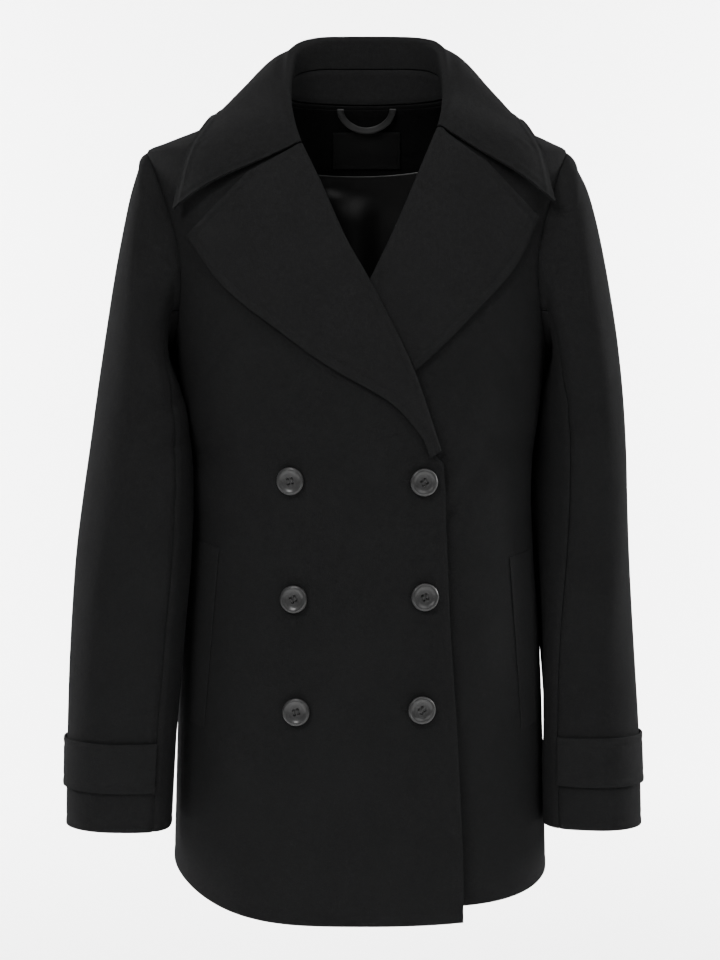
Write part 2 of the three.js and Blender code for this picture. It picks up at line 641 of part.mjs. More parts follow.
// The facing inside the back neck, and the lining below it with its centre pleat
const facingLevel = -2.9;
const liningLevel = -5.8;
const facingRows = { sideZ: -30, backZ: -85 };
function insideBack(share, z, level) {
  const left = angleAside(2, z);
  const p = onBody(mix(left, 2 * Math.PI - left, share), z);
  return p.addScaledVector(normalAt(p), level);
}
function facingEdge(share) {
  return mix(facingRows.sideZ, facingRows.backZ, Math.sin(Math.PI * share));
}
function makeFacing() {
  const columns = 16;
  const steps = 4;
  const shares = Array.from({ length: columns + 1 }, (_, j) => mix(0.07, 0.93, j / columns));
  const rows = Array.from({ length: steps + 1 }, (_, i) => shares.map((share) => {
    const top = mix(neckSide, neckBack, Math.sin(Math.PI * share)) - 2.5;
    return insideBack(share, mix(top, facingEdge(share), i / steps), facingLevel);
  }));
  wall('back_neck_facing', facingWool, rows, satin);
}

// The lining hangs from under the facing's edge down to the hem, cut out round the armholes
const pleat = { wide: 0.028, deep: 8, from: 90, to: 125 };
const liningShares = [
  0.03, 0.09, 0.16, 0.24, 0.32, 0.4, 0.45, 0.475, 0.5, 0.525, 0.55, 0.6, 0.68, 0.76, 0.84, 0.91, 0.97,
];
const liningDrops = [0, 0.03, 0.07, 0.12, 0.17, 0.22, 0.27, 0.33, 0.42, 0.54, 0.67, 0.82, 1];
const liningHem = -728;
function makeLining() {
  const rows = liningDrops.map((drop) => liningShares.map((share) => {
    const z = mix(facingEdge(share) + 5, liningHem, drop);
    const level = (z - underarm) / (shoulderTip - underarm);
    const open = level > 0 && level < 1 ? 2 * Math.sqrt(level * (1 - level)) : 0;
    const edge = angleAside(open * (armholeBack + 6) + 3, z);
    const p = onBody(mix(edge, 2 * Math.PI - edge, share), z);
    const fold = Math.exp(-(((share - 0.5) / pleat.wide) ** 2)) * smooth(-z, pleat.from, pleat.to);
    return p.addScaledVector(normalAt(p), liningLevel + foldAt(p) - pleat.deep * fold);
  }));
  wall('back_lining', lining, rows, satin);
}

// Bare label on the facing, and the loop that the coat hangs from
const label = { left: -27, right: 40, top: -38, bottom: -73 };
function onFacing(x, z, level) {
  const angle = Math.PI - angleAcross(x, z);
  const p = onBody(angle, z);
  return p.addScaledVector(normalAt(p), level);
}
function makeLabel() {
  const level = facingLevel - satin - 2 * seam;
  const rows = [0, 0.5, 1].map((down) => Array.from({ length: 7 }, (_, j) => (
    onFacing(mix(label.left, label.right, j / 6), mix(label.top, label.bottom, down), level)
  )));
  wall('neck_label', tape, rows, satin * 0.8);
}
const loop = { left: -20, right: 33, top: -18, drop: 19, thick: 3 };
function makeLoop() {
  const level = facingLevel - satin / 2 - loop.thick / 2 - 2 * seam;
  const path = new THREE.CatmullRomCurve3([0, 0.08, 0.3, 0.5, 0.7, 0.92, 1].map((share) => {
    const sag = Math.sin(Math.PI * share) ** 0.6;
    return onFacing(mix(loop.left, loop.right, share), loop.top - loop.drop * sag, level - 2.5 * sag);
  }));
  const section = new THREE.Shape();
  section.absellipse(0, 0, loop.thick / 2, loop.thick / 2, 0, 2 * Math.PI);
  const settings = { steps: 20, curveSegments: 4, extrudePath: path };
  addMesh('hanging_loop', lining, new THREE.ExtrudeGeometry(section, settings));
}

// A sleeve as rings from the armhole down to the cuff; columns run from the shoulder tip to the front.
// Round the lower half of the armhole the head rolls out of the seam and then runs on into the tube.
const sleeveHead = { rollOut: 6, rows: 4, lowFrom: -0.45, lowTo: 0.3 };
const sleeveFlat = 0.62; // power that flattens a sleeve's front towards the body, 1 for a plain ellipse
function makeSleeveSurface(side, table) {
  const sections = curves(table.map((row, i) => ({ row: i + 1, ...row })), 'row');
  const lowShare = (angle) => smooth(-Math.cos(angle), sleeveHead.lowFrom, sleeveHead.lowTo);
  const root = (angle) => {
    const z = armholeZ(angle);
    const p = onBody(side * angleAside(armholeY(angle) || -seam / 2, z), z);
    const away = point(p.x, 0, (shoulderTip + underarm) / 2).sub(p).normalize();
    const direction = normalAt(p);
    away.addScaledVector(direction, -away.dot(direction)).normalize();
    return { foot: p.addScaledVector(away, seam * (1 + lowShare(angle))), direction };
  };
  const tube = (row, angle) => {
    const turn = radians(sections.twist(row));
    const flat = Math.cos(angle) < 0 && Math.sin(angle) > 0 ? sleeveFlat : 1;
    const across = Math.sign(Math.cos(angle)) * Math.abs(Math.cos(angle)) ** flat;
    const forward = Math.sign(Math.sin(angle)) * Math.abs(Math.sin(angle)) ** flat;
    const outer = point(side * sections.outerX(row), 0, sections.outerZ(row));
    const inner = point(side * sections.innerX(row), 0, sections.innerZ(row));
    const half = outer.clone().sub(inner).multiplyScalar(0.5);
    const p = outer.add(inner).multiplyScalar(0.5);
    const hind = -sections.depth(row) * forward;
    p.addScaledVector(half, across * Math.cos(turn));
    p.x -= side * hind * Math.sin(turn);
    p.y = sections.y(row) + hind * Math.cos(turn) + half.length() * across * Math.sin(turn);
    const besideWelt = smooth(-p.z, 395, 425) * (1 - smooth(-p.z, 605, 635)) * smooth(-p.y, 0, 30);
    return keepOut(p, apart + weltRoom * besideWelt, 2);
  };
  return (row, columnAt) => {
    const angle = (2 * Math.PI * columnAt) / sleeveColumns;
    const { foot, direction } = root(angle);
    if (row === 0) return foot;
    if (row >= sleeveHead.rows) return tube(row, angle);
    const rolled = foot.addScaledVector(direction, sleeveHead.rollOut);
    const share = (row - 1) / (sleeveHead.rows - 1);
    const end = tube(sleeveHead.rows, angle);
    const slope = tube(sleeveHead.rows + 0.5, angle).sub(tube(sleeveHead.rows - 0.5, angle));
    const back = end.clone().addScaledVector(slope, -(sleeveHead.rows - 1) / 3);
    const forward = rolled.clone().addScaledVector(direction, sleeveHead.rollOut);
    const head = new THREE.CubicBezierCurve3(rolled, forward, back, end).getPoint(share);
    return keepOut(tube(row, angle).lerp(head, lowShare(angle)), apart, 2);
  };
}
const sleeves = {
  right: { side: -1, rows: sleeveRightRows.length, ring: makeSleeveSurface(-1, sleeveRightRows) },
  left: { side: 1, rows: sleeveLeftRows.length, ring: makeSleeveSurface(1, sleeveLeftRows) },
};

// The way straight out of a sleeve at a row and column of its surface
function sleeveDirection(sleeve, row, at) {
  const p = sleeve.ring(row, at);
  if (row === 0) return normalAt(p);
  const around = sleeve.ring(row, at + 0.3).sub(sleeve.ring(row, at - 0.3));
  const last = sleeve.rows;
  const down = sleeve.ring(Math.min(row + 0.3, last), at).sub(sleeve.ring(Math.max(row - 0.3, 1), at));
  const out = around.cross(down).normalize();
  const middle = sleeve.ring(row, 0).lerp(sleeve.ring(row, sleeveColumns / 2), 0.5);
  return out.dot(p.sub(middle)) < 0 ? out.negate() : out;
}

function makeSleevePanel(name, sleeve, fromColumn, toColumn) {
  const sliver = (seam / sleeveGirth) * sleeveColumns;
  const count = toColumn - fromColumn;
  const columns = Array.from({ length: count + 1 }, (_, j) => {
    if (j === 0) return fromColumn + sliver;
    if (j === count) return toColumn - sliver;
    return fromColumn + j;
  });
  const rows = Array.from({ length: sleeve.rows + 1 }, (_, row) => columns.map((at) => sleeve.ring(row, at)));
  const directions = rows.map((_, row) => columns.map((at) => sleeveDirection(sleeve, row, at)));
  wall(name, wool, rows, cloth, directions);
}

// The height of a cuff strap lies between two of the sleeve's rings
function makeStrap(name, sleeve, strapTop) {
  const heightAt = (row) => sleeve.ring(row, 0).z;
  const rowAt = (z) => {
    let row = 1;
    while (row < sleeve.rows - 0.02 && heightAt(row) > z) row += 0.02;
    return row;
  };
  const rise = cloth + 2 * seam;
  const steps = 16;
  const rows = [0, 0.5, 1].map((down) => {
    const row = rowAt(strapTop - strapHeight * down);
    return Array.from({ length: steps + 1 }, (_, j) => {
      const at = mix(strapSpan.from, strapSpan.to, j / steps);
      return sleeve.ring(row, at).addScaledVector(sleeveDirection(sleeve, row, at), rise);
    });
  });
  wall(name, facingWool, rows, cloth * 0.9);
}

// A welt stands on the front over the pocket's mouth
function makeWelt(name, side, welt) {
  const rows = Array.from({ length: 9 }, (_, i) => {
    const down = i / 8;
    const inner = mix(welt.topIn, welt.bottomIn, down);
    return [0, 0.33, 0.67, 1].map((share) => {
      const x = inner + side * mix(welt.topWide, welt.bottomWide, down) * share;
      const z = mix(welt.topZ, welt.bottomZ, down) + welt.lift * share;
      return onFront(side, x, z, cloth + 2 * seam);
    });
  });
  wall(name, facingWool, rows, cloth * 0.9);
}

// A button: a dished disc with a rim, on a short shank of thread
function makeButton(name, { x, z }) {
  const profile = [
    [0, 0],
    [4, 0],
    [4, buttonShank],
    [buttonRadius - 1.6, buttonShank + 0.2],
    [buttonRadius, buttonShank + 1.8],
    [buttonRadius - 0.6, buttonShank + 3.6],
    [buttonRadius - 2.2, buttonShank + 4],
    [buttonRadius - 4.2, buttonShank + 3],
    [0, buttonShank + 2.8],
  ].map(([radius, height]) => new THREE.Vector2(radius, height));
  const mesh = addMesh(name, horn, new THREE.LatheGeometry(profile, 18));
  const foot = onFront(-1, x, z, cloth / 2 + seam);
  mesh.position.copy(foot);
  mesh.quaternion.setFromUnitVectors(point(0, 1, 0), normalAt(foot));
}

makeFront('front_right', -1);
makeFront('front_left', 1);
makeBack();
makeLapel('lapel_right', -1, lapelRightRows);
makeLapel('lapel_left', 1, lapelLeftRows);
makeCollar();
makeStand();
makeFacing();
makeLining();
makeLabel();
makeLoop();
for (const [hand, sleeve] of Object.entries(sleeves)) {
  makeSleevePanel(`sleeve_upper_${hand}`, sleeve, hindSeamColumn - sleeveColumns, frontSeamColumn);
  makeSleevePanel(`sleeve_under_${hand}`, sleeve, frontSeamColumn, hindSeamColumn);
  makeStrap(`cuff_strap_${hand}`, sleeve, strapTops[hand]);
}
makeWelt('pocket_welt_right', -1, weltRight);
makeWelt('pocket_welt_left', 1, weltLeft);
buttonRows.forEach((row, i) => makeButton(`button_${i + 1}`, row));

export default coat;
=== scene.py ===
# Looks of a woman's double-breasted pea coat in black melton wool, hollow and filled out.
# The cloth is worked out in millimetres from the same sizes as the solids: x to the wearer's left,
# y to the back, z up, with the origin between the shoulders.
import math

import bmesh
import bpy
import numpy as np
from mathutils import Matrix, Vector


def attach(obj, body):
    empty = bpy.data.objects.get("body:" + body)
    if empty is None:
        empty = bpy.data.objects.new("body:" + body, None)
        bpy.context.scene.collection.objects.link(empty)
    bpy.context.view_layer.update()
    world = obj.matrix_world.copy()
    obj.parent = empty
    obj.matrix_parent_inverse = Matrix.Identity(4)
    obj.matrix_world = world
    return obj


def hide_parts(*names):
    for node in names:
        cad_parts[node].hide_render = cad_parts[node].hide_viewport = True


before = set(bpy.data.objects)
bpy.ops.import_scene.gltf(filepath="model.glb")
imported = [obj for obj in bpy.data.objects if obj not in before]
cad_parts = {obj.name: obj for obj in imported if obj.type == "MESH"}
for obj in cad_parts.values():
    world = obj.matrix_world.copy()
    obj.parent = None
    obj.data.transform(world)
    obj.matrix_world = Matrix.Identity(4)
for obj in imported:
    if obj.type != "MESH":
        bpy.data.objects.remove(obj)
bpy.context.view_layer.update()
print("frame loaded")

# set-up of one table: a smooth curve through each column, with no overshoot between rows
class Table:
    def __init__(self, names, rows):
        self.names = names.split()
        self.columns = dict(zip(self.names, np.array(rows, float).T))

    def __getattr__(self, name):
        return lambda where: self.read(name, where)

    def read(self, name, where):
        x = self.columns[self.names[0]]
        y = self.columns[name]
        rise = np.diff(y) / np.diff(x)
        before, after = rise[:-1], rise[1:]
        turning = before * after <= 0
        even = 2 * before * after / np.where(turning, 1, before + after)
        slope = np.concatenate([rise[:1], np.where(turning, 0, even), rise[-1:]])
        where = np.clip(where, x[0], x[-1])
        i = np.clip(np.searchsorted(x, where, side="right") - 1, 0, len(rise) - 1)
        width = x[i + 1] - x[i]
        t = (where - x[i]) / width
        s = 1 - t
        return (y[i] * (1 + 2 * t) * s * s + slope[i] * width * t * s * s
                + y[i + 1] * (1 + 2 * s) * t * t - slope[i + 1] * width * s * t * t)


def point(x, y, z):
    return np.stack(np.broadcast_arrays(x, y, z), axis=-1).astype(float)


def mix(a, b, share):
    return a + (b - a) * share


def smooth(value, low, high):
    t = np.clip((value - low) / (high - low), 0, 1)
    return t * t * (3 - 2 * t)


def hump(value, middle, width):
    return np.exp(-((value - middle) / width) ** 2)


def unit(v):
    return v / np.maximum(np.linalg.norm(v, axis=-1, keepdims=True), 1e-9)


def dot(a, b):
    return (a * b).sum(axis=-1, keepdims=True)


# the body of the coat
cloth = dict(wool=2.6, satin=1.4, seam=0.3, layer=4.0, apart=4.4)
neckSide, neckBack, shoulderTip, underarm = -11, -15, -64, -250
breakHeight, lapelFoot = -346, -336
hemFrom, hemLevel = -600, -766
armhole = dict(front=68, back=62, skew=0.35)

body = Table("z half front back middle power", [
    [-800, 179, 155, 153, 0, 2.45],
    [-680, 176, 153, 147, 0, 2.45],
    [-600, 174, 151, 141, 0, 2.4],
    [-520, 170.5, 149, 132, 0, 2.4],
    [-440, 164.5, 147, 120, 0, 2.4],
    [-375, 162, 147, 113, 0, 2.4],
    [-300, 170, 149, 116, 0, 2.4],
    [-250, 175, 147, 118, 0, 2.4],
    [-210, 180, 140, 117, 0, 2.4],
    [-160, 187, 124, 112, -1, 2.35],
    [-110, 194, 105, 103, -2, 2.3],
    [-64, 198, 84, 88, -3, 2],
    [-56, 182, 81, 85, -1, 1.9],
    [-46, 158, 77, 82, 1, 1.85],
    [-32, 123, 72, 76, 3, 1.85],
    [-20, 95, 66, 70, 4, 1.9],
    [-11, 79, 60, 64, 5, 2],
    [60, 74, 56, 62, 6, 2.1],
])


def onBody(angle, z):
    power = 2 / body.power(z)
    across, forward = np.sin(angle), np.cos(angle)
    depth = np.where(forward > 0, body.front(z), body.back(z))
    x = body.middle(z) + body.half(z) * np.sign(across) * np.abs(across) ** power
    return point(x, -depth * np.sign(forward) * np.abs(forward) ** power, z)


def angleAcross(x, z):
    share = (x - body.middle(z)) / body.half(z)
    return np.sign(share) * np.arcsin(np.minimum(np.abs(share) ** (body.power(z) / 2), 1))


def angleAside(y, z):
    depth = np.where(y < 0, body.front(z), body.back(z))
    turn = np.arccos(np.minimum(np.abs(y / depth) ** (body.power(z) / 2), 1))
    return np.where(y < 0, turn, np.pi - turn)


def sectionShare(p):
    x, y, z = p[..., 0], p[..., 1], p[..., 2]
    depth = np.where(y < 0, body.front(z), body.back(z))
    power = body.power(z)
    across = np.abs((x - body.middle(z)) / body.half(z))
    return (across ** power + np.abs(y / depth) ** power) ** (1 / power)


def outwards(p):
    slopes = []
    for axis in range(3):
        step = np.zeros(3)
        step[axis] = 0.5
        slopes.append(sectionShare(p + step) - sectionShare(p - step))
    return np.stack(slopes, axis=-1)


def distanceOut(p):
    return (sectionShare(p) - 1)[..., None] / np.linalg.norm(outwards(p), axis=-1, keepdims=True)


def normalAt(p):
    return unit(outwards(p))


def keepOut(p, least, ease=3.0):
    for turn in range(5):
        short = np.asarray(least)[..., None] - distanceOut(p)
        push = 0.5 * (short + np.hypot(short, ease)) if turn == 0 else np.maximum(short, 0)
        p = p + normalAt(p) * push
    return p


# soft folds and creases of the body: place, run in degrees, length, width and depth
bodyFolds = dict(
    front=[
        [-112, -330, 62, 60, 15, -3.5], [116, -322, -62, 60, 15, -3], [-120, -392, -55, 55, 14, 3],
        [122, -388, 55, 50, 14, 2.5], [-134, -262, 35, 42, 9, -2.2], [134, -258, -33, 45, 9, -2.4],
        [104, -372, 74, 46, 10, 1.6], [-92, -376, -80, 44, 11, 1.3], [-60, -520, 4, 70, 30, -1.6],
        [30, -650, -4, 80, 34, 1.8], [-110, -650, 3, 90, 26, 1.7], [128, -650, -3, 85, 22, -1.8],
        [92, -352, 33, 44, 8, 2.4], [104, -364, 35, 46, 8, -1.8], [-40, -300, 70, 50, 16, -1.0],
    ],
    back=[
        [-70, -385, 12, 95, 20, -4], [66, -400, -10, 90, 18, -3.5], [6, -620, 0, 130, 34, 4],
        [-128, -215, 30, 50, 16, 3], [126, -222, -32, 55, 16, 3], [-20, -372, 84, 60, 9, -1.6],
        [24, -398, 96, 52, 10, -1.3], [-104, -600, 2, 110, 22, -2.6], [98, -640, -3, 100, 24, -2.3],
        [-60, -140, 62, 50, 12, -1.4], [66, -150, -60, 46, 12, -1.3], [0, -46, 90, 60, 10, -1.2],
    ],
)


def foldAt(p):
    rise = np.zeros(p.shape[:-1])
    for place, folds in bodyFolds.items():
        here = (p[..., 1] > 0) == (place == "back")
        for x, z, turn, long, wide, deep in folds:
            turn = math.radians(turn)
            dx, dz = p[..., 0] - x, p[..., 2] - z
            along = (dz * math.cos(turn) + dx * math.sin(turn)) / long
            beside = (dx * math.cos(turn) - dz * math.sin(turn)) / wide
            rise += here * deep * np.exp(-along ** 2 - beside ** 2)
    return rise


def frontLevel(side, x, z):
    share = (1 - smooth(side * x, 60, 170)) * smooth(-z, 20, 110)
    lap = np.where(side > 0, -1.5, 0.5) * cloth["layer"]
    standBack = np.where(side > 0, -8, 0) * smooth(-z, 520, 766)
    return (lap + standBack) * share


def onFront(side, x, z, rise=0.0):
    p = onBody(angleAcross(x, z), z)
    level = frontLevel(side, x, z) + foldAt(p) + rise
    return p + normalAt(p) * level[..., None]


# cloth from a grid of points
def gridNormals(rows, towards):
    along = np.gradient(rows, axis=0)
    across = np.gradient(rows, axis=1)
    normals = unit(np.cross(along, across))
    middle = normals[rows.shape[0] // 2, rows.shape[1] // 2]
    return normals if middle @ np.array(towards, float) > 0 else -normals


def distanceTo(points, line):
    best = np.full(points.shape[:-1], 1e9)
    for a, b in zip(line[:-1], line[1:]):
        run = b - a
        share = np.clip(((points - a) @ run) / max(run @ run, 1e-9), 0, 1)
        best = np.minimum(best, np.linalg.norm(points - a - share[..., None] * run, axis=-1))
    return best


def edgeRoll(far):  # the doubled edge stands proud and dips where it is stitched through
    return 0.45 * hump(far, 3.2, 3.0) - 0.42 * hump(far, 7.4, 2.1) + 0.12 * hump(far, 11.5, 2.6)


def seamDip(far):
    return -0.75 * np.exp(-(far / 2.4) ** 2) + 0.3 * hump(far, 5, 2.6)


def spaced(count, fine, ease, both=False):  # shares from 0 to 1, closer together near 0, or near both ends
    t = np.linspace(0, 1, count)
    if both:
        return mix(t, 0.5 - 0.5 * np.cos(np.pi * t), ease)
    return mix(t, t ** fine, ease)


def makeCloth(name, rows, thickness, material, replaces, bevel=0.7, flipped=False):
    deep, wide = rows.shape[0] - 1, rows.shape[1] - 1
    bm = bmesh.new()
    uvLayer = bm.loops.layers.uv.new("cut")
    bmesh.ops.create_grid(bm, x_segments=wide, y_segments=deep, size=0.5)
    places = [(round((v.co.y + 0.5) * deep), round((v.co.x + 0.5) * wide)) for v in bm.verts]
    along = np.concatenate([[0], np.cumsum(np.linalg.norm(np.diff(rows, axis=0), axis=-1).mean(axis=1))])
    across = np.concatenate([[0], np.cumsum(np.linalg.norm(np.diff(rows, axis=1), axis=-1).mean(axis=0))])
    for v, (i, j) in zip(bm.verts, places):
        v.co = Vector(rows[i, j] / 1000)
    for face in bm.faces:
        face.smooth = True
        for corner in face.loops:
            i, j = places[corner.vert.index]
            corner[uvLayer].uv = (across[j] / 1000, along[i] / 1000)
    if flipped:
        bmesh.ops.reverse_faces(bm, faces=bm.faces)
    mesh = bpy.data.meshes.new(name + "_cloth")
    bm.to_mesh(mesh)
    bm.free()
    piece = bpy.data.objects.new(name + "_cloth", mesh)
    bpy.context.scene.collection.objects.link(piece)
    wall = piece.modifiers.new("wall", "SOLIDIFY")
    wall.thickness = thickness / 1000
    wall.offset = 0
    wall.use_even_offset = False
    if bevel:
        edge = piece.modifiers.new("edge", "BEVEL")
        edge.width = bevel / 1000
        edge.segments = 2
        edge.limit_method = "ANGLE"
        edge.angle_limit = math.radians(55)
    mesh.materials.append(material)
    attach(piece, "root")
    if replaces:
        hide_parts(replaces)
    area = sum(face.area for face in mesh.polygons)
    print(f"made {name}, {across[-1]:.0f} by {along[-1]:.0f} mm, area {area:.4f}")
    return piece


# shader maths
class Value:
    def __init__(self, finish, socket):
        self.finish = finish
        self.socket = socket

    def math(self, operation, other, turned=False):
        a, b = (other, self) if turned else (self, other)
        node = self.finish.add("ShaderNodeMath", dict(operation=operation), {0: a, 1: b})
        return Value(self.finish, node.outputs[0])

    def __add__(self, other):
        return self.math("ADD", other)

    def __sub__(self, other):
        return self.math("SUBTRACT", other)

    def __mul__(self, other):
        return self.math("MULTIPLY", other)

    def __truediv__(self, other):
        return self.math("DIVIDE", other)

    def __rsub__(self, other):
        return self.math("SUBTRACT", other, True)

    def __lt__(self, other):
        return self.math("LESS_THAN", other)

    __radd__ = __add__
    __rmul__ = __mul__


class Finish:
    def __init__(self, name):
        self.material = bpy.data.materials.new(name)
        self.material.use_nodes = True
        self.tree = self.material.node_tree
        self.shader = self.tree.nodes["Principled BSDF"]
        self.place = self.add("ShaderNodeTexCoord", {}, {})

    def add(self, kind, settings, sockets):
        node = self.tree.nodes.new(kind)
        for key, setting in settings.items():
            if key == "stops":
                ramp = node.color_ramp
                ramp.elements[0].position, ramp.elements[1].position = setting[0][0], setting[-1][0]
                for at, _ in setting[1:-1]:
                    ramp.elements.new(at)
                for element, (_, colour) in zip(ramp.elements, setting):
                    element.color = (*colour, 1)
            else:
                setattr(node, key, setting)
        for key, value in sockets.items():
            self.put(node.inputs[key], value)
        return node

    def put(self, socket, value):
        if isinstance(value, Value):
            value = value.socket
        if isinstance(value, bpy.types.NodeSocket):
            self.tree.links.new(value, socket)
        elif isinstance(value, tuple) and len(value) == 3 and socket.type == "RGBA":
            socket.default_value = (*value, 1)
        else:
            socket.default_value = value

    def set(self, **sockets):
        for name, value in sockets.items():
            self.put(self.shader.inputs[name.replace("_", " ")], value)

    def noise(self, size, detail=2.0, rough=0.55, where=None):
        sockets = {"Vector": where or self.place.outputs["Object"], "Scale": 1000 / size, "Detail": detail,
                   "Roughness": rough}
        return Value(self, self.add("ShaderNodeTexNoise", {}, sockets).outputs["Fac"])

    def ramp(self, value, stops):
        return self.add("ShaderNodeValToRGB", dict(stops=stops), {"Fac": value}).outputs["Color"]

    def blend(self, factor, a, b):
        settings = dict(data_type="RGBA")
        node = self.add("ShaderNodeMix", settings, {"Factor": factor})
        self.put(node.inputs[6], a)
        self.put(node.inputs[7], b)
        return node.outputs[2]

    def limit(self, value, low, high):
        sockets = {"Value": value, "From Min": low, "From Max": high}
        node = self.add("ShaderNodeMapRange", dict(clamp=True), sockets)
        return Value(self, node.outputs["Result"])

    def bump(self, height, strength, distance, before=None):
        sockets = {"Height": height, "Strength": strength, "Distance": distance / 1000}
        if before is not None:
            sockets["Normal"] = before
        return self.add("ShaderNodeBump", {}, sockets).outputs["Normal"]


def grey(value, warmth=0.0):  # linear colour of a neutral cloth, slightly cool where warmth is below 0
    return (value * (1 + warmth), value, value * (1 - warmth))


woolLook = dict(dark=0.0046, mid=0.007, pale=0.0108, sheen=0.006, grain=0.9, felt=4.0, cloud=42.0)


def makeWool(name, lift=1.0):
    finish = Finish(name)
    look = woolLook
    grain = finish.noise(look["grain"], 3, 0.7)
    felt = finish.noise(look["felt"], 4, 0.6)
    cloud = finish.noise(look["cloud"], 3, 0.5)
    hairs = finish.noise(0.55, 2, 0.5)
    tone = finish.limit(grain * 0.7 + felt * 0.22 + cloud * 0.08, 0.34, 0.66)
    colour = finish.ramp(tone, [
        (0.0, grey(look["dark"] * lift, -0.01)),
        (0.5, grey(look["mid"] * lift, -0.01)),
        (1.0, grey(look["pale"] * lift, -0.01)),
    ])
    flecks = finish.limit(hairs, 0.66, 0.74)
    colour = finish.blend(flecks * 0.35, colour, grey(0.022 * lift))
    normal = finish.bump(cloud, 0.25, 1.2)
    normal = finish.bump(felt, 0.35, 0.5, normal)
    normal = finish.bump(grain * 0.7 + hairs * 0.3, 0.55, 0.32, normal)
    finish.set(Base_Color=colour, Roughness=0.92 - 0.1 * grain, Normal=normal, Sheen_Weight=look["sheen"],
               Sheen_Roughness=0.45, Sheen_Tint=(0.9, 0.9, 0.92), Specular_IOR_Level=0.0)
    return finish.material


def makeSatin(name, tone, shine):
    finish = Finish(name)
    uv = finish.add("ShaderNodeMapping", {}, {"Vector": finish.place.outputs["UV"], "Scale": (1.0, 0.12, 1.0)})
    threads = finish.noise(0.5, 2, 0.6, uv.outputs["Vector"])
    slub = finish.noise(9.0, 3, 0.5)
    colour = finish.ramp(threads * 0.6 + slub * 0.4, [(0.3, grey(tone * 0.7)), (0.7, grey(tone * 1.3))])
    normal = finish.bump(slub, 0.2, 0.5)
    normal = finish.bump(threads, 0.35, 0.08, normal)
    finish.set(Base_Color=colour, Roughness=0.36 + 0.16 * threads, Normal=normal, Specular_IOR_Level=shine)
    return finish.material


def makeHorn(name):
    finish = Finish(name)
    mottle = finish.noise(0.7, 3, 0.6)
    turned = finish.add("ShaderNodeTexWave", dict(wave_type="RINGS", rings_direction="SPHERICAL"),
                        {"Vector": finish.place.outputs["UV"], "Scale": 800.0, "Distortion": 0.6})
    rings = Value(finish, turned.outputs["Fac"])
    colour = finish.ramp(finish.limit(mottle, 0.3, 0.7), [(0.0, grey(0.009)), (1.0, grey(0.016))])
    normal = finish.bump(rings * 0.7 + mottle * 0.3, 0.5, 0.05)
    finish.set(Base_Color=colour, Roughness=0.3 + 0.12 * mottle, Normal=normal, Coat_Weight=0.1,
               Coat_Roughness=0.14, Specular_IOR_Level=0.25)
    return finish.material


def makeThread(name, tone, sheen):
    finish = Finish(name)
    twist = finish.add("ShaderNodeTexWave", dict(bands_direction="DIAGONAL"),
                       {"Vector": finish.place.outputs["Object"], "Scale": 900.0, "Distortion": 1.0})
    turns = Value(finish, twist.outputs["Fac"])
    colour = finish.ramp(turns, [(0.0, grey(tone * 0.6)), (1.0, grey(tone * 1.3))])
    finish.set(Base_Color=colour, Roughness=0.6, Normal=finish.bump(turns, 0.5, 0.12), Sheen_Weight=sheen)
    return finish.material


def makeLabelCloth(name):
    finish = Finish(name)
    uv = finish.place.outputs["UV"]
    warp = finish.add("ShaderNodeTexWave", dict(bands_direction="X"), {"Vector": uv, "Scale": 700.0})
    weft = finish.add("ShaderNodeTexWave", dict(bands_direction="Y"), {"Vector": uv, "Scale": 900.0})
    weave = Value(finish, warp.outputs["Fac"]) * 0.5 + Value(finish, weft.outputs["Fac"]) * 0.5
    soil = finish.noise(6.0, 3, 0.5)
    colour = finish.ramp(weave * 0.6 + soil * 0.4, [(0.25, grey(0.0018)), (0.8, grey(0.0034))])
    finish.set(Base_Color=colour, Roughness=0.6 - 0.15 * weave, Normal=finish.bump(weave, 0.5, 0.12),
               Specular_IOR_Level=0.1)
    return finish.material


wool = makeWool("meltonWool")
facingWool = makeWool("facingWool", 1.06)
satin = makeSatin("satinLining", 0.0035, 0.35)
horn = makeHorn("imitationHorn")
thread = makeThread("blackThread", 0.006, 0.03)
labelCloth = makeLabelCloth("wovenLabel")
rope = makeSatin("satinLoop", 0.016, 0.12)
# darker copy of the coat wool for the back-neck facing: partly a darker facing cloth, partly painted shade for
# the shadowed inside of the neck
neckWoolPaintedShade = makeWool("neckWoolPaintedShade", 0.55)
print("finishes made")


# fronts and back
edgeTable = Table("z x", [[-800, 93], [-742, 93], [-624, 88.5], [-479, 79.5], [-346, 74]])
rolls = {
    -1: dict(
        roll=Table("z x", [[-346, 74], [-267, 47.5], [-186, 8], [-151, -12], [-98, -36], [-60, -54]]),
        neck=Table("z x", [[-60, -61], [-40, -67], [-24, -71], [-11, -71.5]]),
        gorge=-60,
    ),
    1: dict(
        roll=Table("z x", [[-346, -74], [-267, -33.5], [-186, 8], [-137, 32], [-93, 51], [-44, 72]]),
        neck=Table("z x", [[-44, 79], [-30, 82.5], [-20, 83.5], [-11, 81.5]]),
        gorge=-44,
    ),
}
hookEnd, hookSeam = 5.5, 0.6


def armholeY(angle):
    across = np.sin(angle)
    front = -armhole["front"] * across * (1 - armhole["skew"] * np.cos(angle))
    return np.where(across > 0, front, -armhole["back"] * across)


def armholeZ(angle):
    return mix(underarm, shoulderTip, (1 + np.cos(angle)) / 2)


def panelHeights(fineHem=True):
    hem = hemLevel + np.array([0, 1.6, 3.2, 4.8, 6.4, 8.0, 10, 12.5, 16])
    skirt = np.concatenate([hem, np.linspace(hemLevel + 22, underarm - 3, 84)])
    angles = np.linspace(np.pi, 0, 46)
    shoulder = np.linspace(shoulderTip + 1.5, neckSide, 26)
    seam = cloth["seam"] / 2
    z = np.concatenate([skirt, armholeZ(angles), shoulder])
    front = np.concatenate([seam + 0 * skirt, np.maximum(-armholeY(angles), seam), seam + 0 * shoulder])
    back = np.concatenate([seam + 0 * skirt, np.maximum(armholeY(-angles), seam), seam + 0 * shoulder])
    return z, front, back


